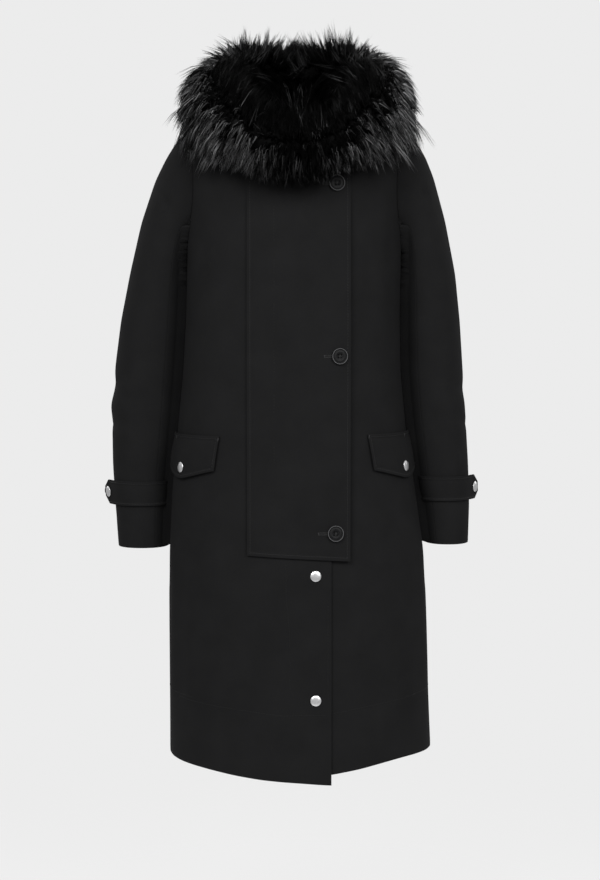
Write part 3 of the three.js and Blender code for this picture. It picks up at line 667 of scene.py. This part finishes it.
def hair_template():
    """One hair as a thin three-sided cone of unit length, with rings to bend at."""
    bm = bmesh.new()
    bmesh.ops.create_cone(bm, cap_ends=True, segments=3, radius1=1, radius2=0, depth=1)
    bmesh.ops.remove_doubles(bm, verts=bm.verts, dist=1e-4)
    bmesh.ops.translate(bm, verts=bm.verts, vec=(0, 0, 0.5))
    for height in (0.35, 0.7):
        everything = bm.verts[:] + bm.edges[:] + bm.faces[:]
        bmesh.ops.bisect_plane(bm, geom=everything, plane_co=(0, 0, height), plane_no=(0, 0, 1))
    return pattern(bm)


def repeated(name, corners, faces):
    """One mesh of many copies: corners is copies x corners x 3, faces those of one copy."""
    copies, count = corners.shape[:2]
    sizes = np.array([len(f) for f in faces])
    flat_faces = np.concatenate([np.array(f) for f in faces])
    loops = (flat_faces[None] + np.arange(copies)[:, None] * count).ravel()
    totals = np.tile(sizes, copies)
    starts = np.concatenate([[0], np.cumsum(totals)[:-1]])
    mesh = bpy.data.meshes.new(name)
    mesh.vertices.add(copies * count)
    mesh.vertices.foreach_set("co", corners.astype(np.float32).ravel())
    mesh.loops.add(len(loops))
    mesh.loops.foreach_set("vertex_index", loops.astype(np.int32))
    mesh.polygons.add(len(totals))
    mesh.polygons.foreach_set("loop_start", starts.astype(np.int32))
    mesh.update(calc_edges=True)
    mesh.polygons.foreach_set("use_smooth", np.ones(len(totals), bool))
    return mesh


def fur_material():
    """Black pile: near black at the root, with a grey sheen painted into its colour on its bend, and
    light and shade painted in by each lock's tone.
    """
    fur, nodes, links, surface = new_material("black pile")
    surface.inputs["Roughness"].default_value = 0.45
    surface.inputs["Specular IOR Level"].default_value = 0.05
    point = nodes.new("ShaderNodeAttribute")
    point.attribute_name = "point"
    # the tone attribute holds painted light and shade besides random tone
    lock_tone_and_painted_light = nodes.new("ShaderNodeAttribute")
    lock_tone_and_painted_light.attribute_name = "lock_tone_and_painted_light"
    shade = nodes.new("ShaderNodeMath")
    shade.operation = "MULTIPLY"
    ramp = two_shades(nodes, (0.0008, 0.0008, 0.0008), (0.3, 0.3, 0.305), 0.05, 0.9)
    links.new(point.outputs["Fac"], shade.inputs[0])
    links.new(lock_tone_and_painted_light.outputs["Fac"], shade.inputs[1])
    links.new(shade.outputs["Value"], ramp.inputs["Fac"])
    links.new(ramp.outputs["Color"], surface.inputs["Base Color"])
    return fur


fur_finish = fur_material()
hair_corners, hair_faces = hair_template()


def eased(x):
    """A soft step from 0 to 1."""
    x = np.clip(x, 0, 1)
    return x * x * (3 - 2 * x)


def bump(x, middle, width):
    """A soft hill of height 1 about middle."""
    return np.exp(-(((x - middle) / width) ** 2))


# how far a hair goes along its normal and its flow: by t, and by t squared
RISE, RISE_BACK = 0.75, -0.42
RUN, RUN_ON = 0.18, 0.72
HAIR_SHORTEST, HAIR_LONGEST = 20, 62
SHOULDER_HAIR = 57
WILD_SHARE = 0.14
LOCK_SPREAD = 4.0
LOCK_BOW = 2.4
SEWN_BLEND = 1.4
FUR_FRONT, FUR_BACK = -204, 178
ROOM_LEAST = 12
# the painted sheen lies on a hair's bend, and its point is painted darker again
painted_sheen_along = np.interp(hair_corners[:, 2], [0, 0.5, 1], [0, 1, 0.3])


def fur_piece(name, from_turn, to_turn):
    """The pile of one stretch of the trim."""
    locks = int(LOCKS * (to_turn - from_turn) / 360)
    turn = draw.uniform(max(from_turn, TRIM_END), min(to_turn, 360 - TRIM_END), locks)
    # most locks grow on the face that shows, few on the side that lies on the coat, and a
    # part of them along the sewn edge, where they close over the neck
    kind = draw.random(locks)
    half = np.where(turn > 180, 360 - turn, turn)
    shares = np.interp(half, [80, 130], [0.62, 0.3])
    angle = np.select(
        [kind < shares, kind < 0.80],
        [draw.uniform(205, 405, locks), draw.uniform(0, 360, locks)],
        draw.uniform(150, 232, locks),
    )
    angle = np.radians(angle)
    middle, across, through, wide, thick = trim_frame(turn)
    c, s = np.cos(angle)[:, None], np.sin(angle)[:, None]
    width_at, depth_at = wide[:, None] * c, thick[:, None] * s
    sewn_side = eased(-SEWN_BLEND * width_at / np.hypot(width_at, depth_at))
    root = middle + (0.5 + 0.46 * sewn_side) * (width_at * across + depth_at * through)
    normal = unit(c / wide[:, None] * across + s / thick[:, None] * through)
    down = np.array([0, 0, -1.0])
    side = np.stack([np.sign(middle[:, 0]), np.zeros(locks), np.zeros(locks)], -1)
    ahead = np.array([0, -1.0, 0])
    high = eased((middle[:, 2:3] - 52) / 36)
    behind = eased((middle[:, 1:2] + 20) / 100)
    outer = eased((c + 0.85) / 0.6)
    wing = np.clip(np.abs(middle[:, :1]) / 120, 0, 1)
    # over the shoulders the locks are long and hang
    hanging = bump(half[:, None], 82, 26)
    falling = (
        across * (0.55 - 0.2 * hanging + 0.45 * high)
        + down * (0.95 + 0.15 * hanging) * (1 - high)
        + side * (0.25 * wing * (1 - hanging) * (1 - high) - 0.42 * high)
    )
    closing = down * (1.55 * behind - 0.6) + ahead * (1.0 * behind - 0.5) - side * 0.35 * wing
    flow = falling * outer + closing * (1 - outer)
    wild = draw.random((locks, 1)) < WILD_SHARE
    flow = flow + np.where(wild, 0.45 * outer, 0) * across
    flow = unit(flow + (0.15 - 0.05 * high) * draw.normal(0, 1, (locks, 3)))
    along = np.maximum(0.42, (flow * across).sum(1))
    reach = wide * (1.0 - 0.5 * c[:, 0]) / ((RISE + RISE_BACK) * c[:, 0] + (RUN + RUN_ON) * along)
    reach = np.clip(reach, HAIR_SHORTEST, HAIR_LONGEST)
    reach = reach * outer[:, 0] + (46 + 26 * behind[:, 0]) * (1 - outer[:, 0])
    shoulder = bump(half[:, None], 68, 34) * outer
    reach = np.maximum(reach, SHOULDER_HAIR * shoulder[:, 0]) * (1 + 0.04 * high[:, 0])
    reach *= draw.uniform(0.6, 1.12, locks) * np.where(wild[:, 0], 1.15, 1)
    by_button = bump(root[:, 0], 64, 20) * (middle[:, 1] < -60)
    reach *= 1 - 0.32 * by_button
    bunch = bump(middle[:, 0], 8, 9) * behind[:, 0]
    hairs = locks * HAIRS_IN_LOCK
    # painted light and shade in each lock's tone: lighter where the light catches the bend over each
    # side of the neck, more on the wearer's right, and on the bunch at the back centre; painted shade on
    # the strip's inner face, at the top and at the centre front; the rest differs at random
    glow = 0.62 + 0.95 * bump(middle[:, 0], -90, 36) + 0.5 * bump(middle[:, 0], 125, 42)
    painted_light_and_shade = eased(c[:, 0] + 0.8) * (1 - 0.6 * high[:, 0]) * glow
    painted_light_and_shade *= 1 - 0.6 * bump(middle[:, 0], 5, 45) * (1 - behind[:, 0])
    lock_tone_and_painted_light = (0.02 + 0.98 * painted_light_and_shade + 0.3 * bunch) * draw.uniform(0.3, 1, locks) ** 2
    stray = draw.random(locks)
    lock_tone_and_painted_light += np.where(stray < 0.04, 0.25, np.where(stray < 0.22, 0.1, 0)) * (1 - outer[:, 0])
    root, normal, flow, reach, lock_tone_and_painted_light = (
        np.repeat(values, HAIRS_IN_LOCK, axis=0) for values in (root, normal, flow, reach, lock_tone_and_painted_light)
    )
    beside = unit(np.cross(normal, flow))
    apart = draw.normal(0, LOCK_SPREAD, (hairs, 2))
    offset = beside * apart[:, :1] + np.cross(beside, normal) * apart[:, 1:]
    flow = unit(flow + draw.normal(0, 0.04, (hairs, 3)))
    reach = reach * draw.uniform(0.8, 1.05, hairs)
    # no hair stands further out than 14 mm before the solid or 17 mm behind it
    goes = (RISE + RISE_BACK) * normal[:, 1] + (RUN + RUN_ON) * flow[:, 1]
    room = (np.where(goes < 0, FUR_FRONT, FUR_BACK) - root[:, 1]) / goes
    reach = np.minimum(reach, np.maximum(room, ROOM_LEAST))
    bow = beside * np.repeat(draw.normal(0, LOCK_BOW, (locks, 1)), HAIRS_IN_LOCK, axis=0)
    t = hair_corners[:, 2][None, :, None]
    place = (
        root[:, None]
        + offset[:, None] * (1 - 0.93 * t)
        + bow[:, None] * np.sin(np.pi * t)
        + reach[:, None, None]
        * (normal[:, None] * (RISE * t + RISE_BACK * t * t) + flow[:, None] * (RUN * t + RUN_ON * t * t))
    )
    heading = unit(normal[:, None] * (RISE + 2 * RISE_BACK * t) + flow[:, None] * (RUN + 2 * RUN_ON * t))
    turned = unit(np.cross(heading, normal[:, None]) + 1e-6)
    top = np.cross(turned, heading)
    width = HAIR_WIDTH * draw.uniform(0.65, 1.3, (hairs, 1, 1))
    place = place + width * (turned * hair_corners[None, :, :1] + top * hair_corners[None, :, 1:2])
    mesh = repeated(name, place * MM, hair_faces)
    # the point attribute carries the painted sheen along each hair
    mesh.attributes.new("point", "FLOAT", "POINT").data.foreach_set(
        "value", np.tile(painted_sheen_along, hairs).astype(np.float32)
    )
    lock_tone_and_painted_light = lock_tone_and_painted_light * np.where(draw.random(hairs) < 0.25, 2, draw.uniform(0.15, 0.8, hairs))
    mesh.attributes.new("lock_tone_and_painted_light", "FLOAT", "POINT").data.foreach_set(
        "value", np.repeat(lock_tone_and_painted_light, len(hair_corners)).astype(np.float32)
    )
    piece = placed(name, mesh)
    mesh.materials.append(fur_finish)
    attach(piece, "root")
    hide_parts("fur_trim")


fur_piece("fur_wearers_left", 0, 105)
fur_piece("fur_behind_left", 105, 180)
fur_piece("fur_behind_right", 180, 255)
fur_piece("fur_wearers_right", 255, 360)

# the rolled skin that the hair grows from, which is full size only where it is sewn on
bm = bmesh.new()
bm.from_mesh(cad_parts["fur_trim"].data)
bmesh.ops.remove_doubles(bm, verts=bm.verts, dist=DOUBLES)
bm = smoothed(bm, 1)
line, across, *_ = trim_frame(np.arange(TRIM_END, 360 - TRIM_END, 1.0))
for v in bm.verts:
    i = np.argmin(np.linalg.norm(line * MM - np.array(v.co), axis=1))
    middle = Vector(line[i] * MM)
    away = (v.co - middle).normalized()
    surface_at = trim_tree.ray_cast(middle, away)[3] or (v.co - middle).length
    sewn_side = eased(-away.dot(Vector(across[i])) * SEWN_BLEND)
    v.co = middle + away * surface_at * (0.52 + 0.47 * sewn_side)
for face in bm.faces:
    face.smooth = True
skin = placed("fur_skin", mesh_from("fur_skin", bm))
underfur, nodes, links, surface = new_material("underfur")
surface.inputs["Roughness"].default_value = 0.95
surface.inputs["Specular IOR Level"].default_value = 0.05
tufts = noise_on(nodes, links, 240)
shade = two_shades(nodes, (0.001, 0.001, 0.001), (0.004, 0.004, 0.004))
raised = nodes.new("ShaderNodeBump")
raised.inputs["Distance"].default_value = 0.003
links.new(tufts.outputs["Fac"], shade.inputs["Fac"])
links.new(tufts.outputs["Fac"], raised.inputs["Height"])
links.new(shade.outputs["Color"], surface.inputs["Base Color"])
links.new(raised.outputs["Normal"], surface.inputs["Normal"])
skin.data.materials.append(underfur)
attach(skin, "root")
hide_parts("fur_trim")

# Buttons
# Three four-hole buttons of dark horn: a raised rim with a painted highlight round a dished
# face, sewn on with crossed black thread.
HOLE_RADIUS = 1.05 * MM
HOLE_OFFSET = 2.6 * MM
DRILL_LONG = 12 * MM
ROUND_STEPS = 48


def seat_of(node):
    """The middle of a small round piece's base, and the direction it faces."""
    points = np.array([v.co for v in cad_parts[node].data.vertices])
    middle = points.mean(axis=0)
    facing = np.linalg.svd(points - middle, full_matrices=False)[2][2]
    if facing @ (middle * [1, 1, 0]) < 0:
        facing = -facing
    heights = (points - middle) @ facing
    return Vector(middle + facing * heights.min()), Vector(facing)


def spun(profile):
    """A round piece turned from a profile of (radius, height) in mm."""
    bm = bmesh.new()
    corners = [bm.verts.new((r * MM, 0, z * MM)) for r, z in profile]
    edges = [bm.edges.new(pair) for pair in zip(corners[:-1], corners[1:])]
    bmesh.ops.spin(
        bm,
        geom=corners + edges,
        cent=(0, 0, 0),
        axis=(0, 0, 1),
        angle=2 * math.pi,
        steps=ROUND_STEPS,
        use_merge=True,
    )
    bmesh.ops.remove_doubles(bm, verts=bm.verts, dist=0.001 * MM)
    bmesh.ops.recalc_face_normals(bm, faces=bm.faces)
    return bm


def seated(bm, node):
    """Stands a turned piece on its node's seat."""
    at, facing = seat_of(node)
    turn = facing.to_track_quat("Z", "Y").to_matrix().to_4x4()
    bmesh.ops.transform(bm, matrix=turn, verts=bm.verts)
    bmesh.ops.translate(bm, verts=bm.verts, vec=at)


def add_piece(name, bm, material, node):
    """Finishes a turned piece that takes its node's place."""
    for face in bm.faces:
        face.smooth = True
    piece = placed(name, mesh_from(name, bm))
    piece.data.materials.append(material)
    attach(piece, "root")
    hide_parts(node)
    return piece


def horn_material():
    """Dark horn with a painted highlight on the raised rim, faint swirls and a satin gloss."""
    horn, nodes, links, surface = new_material("dark horn")
    surface.inputs["Specular IOR Level"].default_value = 0.16
    swirl = noise_on(nodes, links, 180)
    swirl.inputs["Distortion"].default_value = 1.5
    shade = two_shades(nodes, (0.004, 0.004, 0.0045), (0.009, 0.009, 0.0095), 0.35, 0.7)
    # the rim attribute mixes in a painted highlight
    rim = nodes.new("ShaderNodeAttribute")
    rim.attribute_name = "rim"
    painted_rim_highlight = nodes.new("ShaderNodeMix")
    painted_rim_highlight.data_type = "RGBA"
    painted_rim_highlight.inputs["B"].default_value = (0.11, 0.11, 0.113, 1)
    gloss = nodes.new("ShaderNodeMapRange")
    gloss.inputs["To Min"].default_value = 0.42
    gloss.inputs["To Max"].default_value = 0.56
    links.new(swirl.outputs["Fac"], shade.inputs["Fac"])
    links.new(swirl.outputs["Fac"], gloss.inputs["Value"])
    links.new(rim.outputs["Fac"], painted_rim_highlight.inputs["Factor"])
    links.new(shade.outputs["Color"], painted_rim_highlight.inputs["A"])
    links.new(painted_rim_highlight.outputs["Result"], surface.inputs["Base Color"])
    links.new(gloss.outputs["Result"], surface.inputs["Roughness"])
    return horn


def thread_material(name, dark, light):
    """Twisted thread between a dark and a light colour, with fine plies across it."""
    thread, nodes, links, surface = new_material(name)
    surface.inputs["Roughness"].default_value = 0.6
    surface.inputs["Specular IOR Level"].default_value = 0.4
    ply = noise_on(nodes, links, 1600)
    shade = two_shades(nodes, dark, light)
    links.new(ply.outputs["Fac"], shade.inputs["Fac"])
    links.new(shade.outputs["Color"], surface.inputs["Base Color"])
    return thread


horn = horn_material()
# the black thread is a shade lighter than the wool; the shadowed thread is darker, its colour a painted
# shade for stitches sunk into a pressed groove and for the buttonhole slits
thread = thread_material("black thread", (0.012, 0.012, 0.012), (0.03, 0.03, 0.031))
painted_shade_thread = thread_material("shadowed thread", (0.0025, 0.0025, 0.0025), (0.009, 0.009, 0.009))


def bead():
    """A round-ended bead of unit half-length along X, for stitches."""
    bm = bmesh.new()
    bmesh.ops.create_uvsphere(bm, u_segments=6, v_segments=5, radius=1)
    lay_down = Vector((0, 0, 1)).rotation_difference(Vector((1, 0, 0))).to_matrix()
    bmesh.ops.rotate(bm, verts=bm.verts, cent=(0, 0, 0), matrix=lay_down)
    return pattern(bm)


bead_corners, bead_faces = bead()


def sewn(name, rows, material=thread):
    """One piece of many stitches, each a place, along, out, half-length and half-thickness (mm)."""
    place = np.array([r[0] for r in rows])
    along = unit(np.array([r[1] for r in rows]))
    out = np.array([r[2] for r in rows])
    beside = unit(np.cross(out, along))
    out = np.cross(along, beside)
    size = np.array([(r[3], r[4]) for r in rows]) * MM
    corners = (
        place[:, None]
        + along[:, None] * bead_corners[None, :, :1] * size[:, None, :1]
        + beside[:, None] * bead_corners[None, :, 1:2] * size[:, None, 1:]
        + out[:, None] * bead_corners[None, :, 2:] * size[:, None, 1:]
    )
    mesh = repeated(name, corners, bead_faces)
    mesh.materials.append(material)
    piece = placed(name, mesh)
    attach(piece, "root")


for word in ("top", "middle", "bottom"):
    node = f"{word}_button"
    button = spun(
        [
            (0, 0.2), (10.4, 0.2), (11.8, 0.7), (12.7, 1.5), (12.8, 2.3), (12.5, 3.2), (12.0, 3.65),
            (11.5, 3.65), (11.1, 3.2), (10.7, 2.5), (10.0, 2.1), (9.4, 2.2), (8.8, 2.6), (6.2, 2.75),
            (5.6, 2.45), (0, 2.4),
        ]
    )
    # the rim layer paints a highlight: full on the raised rim, faint on the dished face
    painted_rim_highlight = button.verts.layers.float.new("rim")
    for v in button.verts:
        on_face = v.co.z > 2.55 * MM and v.co.xy.length < 9 * MM
        v[painted_rim_highlight] = 1 if v.co.z > 3.4 * MM else 0.04 if on_face else 0
    drills = bmesh.new()
    for k in range(4):
        made = bmesh.ops.create_cone(
            drills,
            cap_ends=True,
            segments=16,
            radius1=HOLE_RADIUS,
            radius2=HOLE_RADIUS,
            depth=DRILL_LONG,
        )["verts"]
        angle = math.radians(45 + 90 * k)
        aside = Vector((math.cos(angle), math.sin(angle), 0)) * HOLE_OFFSET
        bmesh.ops.translate(drills, verts=made, vec=aside)
    seated(button, node)
    seated(drills, node)
    cutter = placed("drills", mesh_from("drills", drills))
    piece = add_piece(f"{word}_horn_button", button, horn, node)
    holes = piece.modifiers.new("holes", "BOOLEAN")
    holes.operation = "DIFFERENCE"
    holes.object = cutter
    holes.solver = "EXACT"
    drilled = applied(piece)
    piece.modifiers.clear()
    piece.data = drilled
    bpy.data.objects.remove(cutter)
    at, facing = seat_of(node)
    turn = facing.to_track_quat("Z", "Y").to_matrix()
    rows = []
    for k in range(2):
        angle = math.radians(45 + 90 * k)
        along = turn @ Vector((math.cos(angle), math.sin(angle), 0))
        beside = facing.cross(along)
        for shift in (-0.45, 0, 0.45):
            place = at + (facing * (2.75 + 0.25 * k) + beside * shift) * MM
            rows.append((place, along, facing, 2.9, 0.3))
    sewn(f"{word}_button_thread", rows)

# Snap caps
# Six polished nickel caps, each a low dome with a rolled rim, pressed through the cloth: two on
# the front below the storm flap, one on each pocket flap and one on each cuff tab.


def nickel_material():
    """Polished nickel with a faint brushed haze."""
    nickel, nodes, links, surface = new_material("polished nickel")
    surface.inputs["Metallic"].default_value = 1
    haze = noise_on(nodes, links, 500)
    shade = two_shades(nodes, (0.86, 0.86, 0.87), (0.95, 0.95, 0.96))
    gloss = nodes.new("ShaderNodeMapRange")
    gloss.inputs["To Min"].default_value = 0.32
    gloss.inputs["To Max"].default_value = 0.44
    links.new(haze.outputs["Fac"], shade.inputs["Fac"])
    links.new(haze.outputs["Fac"], gloss.inputs["Value"])
    links.new(shade.outputs["Color"], surface.inputs["Base Color"])
    links.new(gloss.outputs["Result"], surface.inputs["Roughness"])
    return nickel


nickel = nickel_material()
SNAPS = ["upper_front", "lower_front", "right_pocket", "left_pocket", "right_cuff", "left_cuff"]
for word in SNAPS:
    cap = spun(
        [
            (0, 0.1), (7.6, 0.1), (8.2, 0.3), (8.5, 0.8), (8.4, 1.3), (8.0, 1.6),
            (7.4, 1.9), (6.2, 2.35), (4.6, 2.72), (2.8, 2.93), (1.2, 3.0), (0, 3.02),
        ]
    )
    seated(cap, f"{word}_snap")
    add_piece(f"{word}_snap_cap", cap, nickel, f"{word}_snap")

# Topstitching
# Black thread, a shade lighter than the wool, holds down the edges of the flaps and tabs; the hems
# and the facings are stitched with a darker thread whose colour is painted shade.
PITCH = 4.4
STITCH_HALF = 1.55
STITCH_THICK = 0.33
EDGE_STEP = 2 * MM


def resampled(path, step):
    """Points at equal steps along a path."""
    stops = np.array(path)
    lengths = np.concatenate([[0], np.cumsum(np.linalg.norm(np.diff(stops, axis=0), axis=1))])
    count = max(2, int(lengths[-1] / step) + 1)
    marks = np.linspace(0, lengths[-1], count)
    return np.stack([np.interp(marks, lengths, stops[:, k]) for k in range(3)], -1)


def stitches(path, tree):
    """Stitches along a path, each lying on the cloth."""
    points = resampled(path, PITCH * MM)
    rows = []
    for a, b in zip(points[:-1], points[1:]):
        place, out, _, _ = tree.find_nearest(Vector((a + b) / 2))
        rows.append((place + out * 0.05 * MM, b - a, out, STITCH_HALF, STITCH_THICK))
    return rows


def edge_lines(bm, inset, wanted):
    """The lines that run inset in from the sheet's edges, one for each side between corners."""
    following = {}
    for edge in bm.edges:
        if edge.is_boundary:
            loop = edge.link_loops[0]
            following[loop.vert] = loop.link_loop_next.vert
    lines = []
    while following:
        start = next(iter(following))
        ring = [start]
        while ring[-1] in following:
            ring.append(following.pop(ring[-1]))
        ring = ring[:-1] if ring[-1] is ring[0] else ring
        count = len(ring)
        corners = []
        for i, v in enumerate(ring):
            before = v.co - ring[i - 1].co
            after = ring[(i + 1) % count].co - v.co
            if before.length and after.length and before.angle(after) > math.radians(28):
                corners.append(i)
        corners = corners or [0]
        for a, b in zip(corners, corners[1:] + [corners[0] + count]):
            side = [ring[i % count] for i in range(a, b + 1)]
            if len(side) < 3:
                continue
            middle = sum((v.co for v in side), Vector()) / len(side)
            if not wanted(middle):
                continue
            line = []
            for before, here, after in zip([side[0], *side[:-1]], side, [*side[1:], side[-1]]):
                along = (after.co - before.co).normalized()
                line.append(here.co + here.normal.cross(along) * inset)
            line = resampled(line, EDGE_STEP)
            trim = int(inset / EDGE_STEP)
            lines.append(line[trim : len(line) - trim])
    return lines


def stitched_edges(name, inset, wanted):
    """Topstitches a piece's sides, inset mm in from them."""
    sheet = sheets[name]
    sheet.normal_update()
    tree = BVHTree.FromBMesh(sheet)
    rows = []
    for line in edge_lines(sheet, inset * MM, wanted):
        if len(line) > 2:
            rows += stitches(line, tree)
    sewn(f"{name}_stitching", rows)


stitched_edges("storm_flap", 5.0, lambda m: m.z < -0.12)
for word in ("right", "left"):
    stitched_edges(f"{word}_pocket_flap", 4.2, lambda m: True)
    stitched_edges(f"{word}_cuff_tab", 3.4, lambda m: True)

# dashes along the storm flap's inner line, hem and facing lines, in thread with painted shade: a look,
# then its spots in mm
SPOT_STEP = 4
INNER_LINE_X = -33.5
INNER_LINE = [(-150, -205), (-232, -275), (-300, -345), (-372, -408), (-440, -470), (-520, -548)]
LINES = {
    "storm_flap": [
        *(("front", [(INNER_LINE_X, a), (INNER_LINE_X, b)]) for a, b in INNER_LINE),
        ("front", [(-73, -686.5), (0, -688.5), (57, -691)]),
    ],
    "right_front": [
        ("front", [(49.8, -766), (49.8, -913)]),
        ("front", [(-15, -703), (-15, -750), (-9, -820), (-9, -897)]),
        ("front", [(46.7, -936.3), (-21.4, -937.5), (-71, -932.4), (-110, -928.5), (-183.8, -923)]),
        ("right side", [(-118, -919), (-60, -917), (-2, -915)]),
    ],
    "left_front": [
        ("front", [(58, -935), (84, -930.5), (131, -923.8), (190, -918)]),
        ("left side", [(-118, -918), (-60, -916), (-2, -915)]),
    ],
    "back": [
        ("right side", [(58, -915), (120, -916)]),
        ("back", [(-186, -916), (-100, -920), (0, -922), (100, -920), (186, -916)]),
        ("left side", [(58, -915), (120, -916)]),
    ],
}
for name, lines in LINES.items():
    tree = BVHTree.FromBMesh(sheets[name])
    rows = []
    for look, spots in lines:
        dense = []
        for (u0, z0), (u1, z1) in zip(spots[:-1], spots[1:]):
            pieces = max(2, int(math.hypot(u1 - u0, z1 - z0) / SPOT_STEP))
            dense += [
                (u0 + (u1 - u0) * k / pieces, z0 + (z1 - z0) * k / pieces) for k in range(pieces)
            ]
        dense.append(spots[-1])
        rows += stitches(on_cloth(tree, look, dense), tree)
    sewn(f"{name}_seam_stitching", rows, painted_shade_thread)

# Buttonholes
# Three straight buttonholes across the storm flap, each a slit of painted shade overcast with close
# stitches and closed by a bar at its outer end; bars of the same thread hold the pocket flaps' corners.
HOLE_TO = -3.0
HOLE_PITCH = 0.75
HOLE_BAND = 1.15
storm_tree = BVHTree.FromBMesh(sheets["storm_flap"])
overcast, slits = [], []
HOLES = [
    # button's x and z, and where the hole starts beside it
    (61.9, -115.7, -19),
    (65.8, -382.2, -21),
    (60.5, -655.6, -25),
]
for x, z, hole_from in HOLES:
    for step in range(int((HOLE_TO - hole_from) / HOLE_PITCH) + 1):
        u = x + hole_from + HOLE_PITCH * step
        for side in (-1, 1):
            for at in on_cloth(storm_tree, "front", [(u, z + side * (HOLE_BAND + 0.25))]):
                out = storm_tree.find_nearest(at)[1]
                overcast.append((at + out * 0.1 * MM, Vector((0.1, 0, 1)), out, HOLE_BAND, 0.36))
    for at in on_cloth(storm_tree, "front", [(x + hole_from - 0.6, z)]):
        out = storm_tree.find_nearest(at)[1]
        for shift in (-0.4, 0, 0.4):
            place = at + (Vector((shift, 0, 0)) + out * 0.2) * MM
            overcast.append((place, Vector((0, 0, 1)), out, 2.6, 0.4))
    # the slit is a sliver of the shadowed thread: painted shade where the hole opens
    middle = on_cloth(storm_tree, "front", [(x + (hole_from + HOLE_TO) / 2, z)])[0]
    out = storm_tree.find_nearest(middle)[1]
    slits.append((middle, Vector((1, 0, 0)), out, (HOLE_TO - hole_from) / 2, 0.3))
sewn("buttonhole_overcasting", overcast)
sewn("buttonhole_slits", slits, painted_shade_thread)

bars = []
BAR_SPOTS = {"right": [(-121, -512), (-190, -513)], "left": [(114, -507.5), (172, -509)]}
for word, spots in BAR_SPOTS.items():
    tree = BVHTree.FromBMesh(sheets[f"{word}_pocket_flap"])
    for at in on_cloth(tree, "front", spots):
        out = tree.find_nearest(at)[1]
        for shift in (-0.5, 0, 0.5):
            place = at + (Vector((shift, 0, 0)) + out * 0.15) * MM
            bars.append((place, Vector((0.15, 0, 1)), out, 3.2, 0.42))
sewn("pocket_flap_bars", bars)
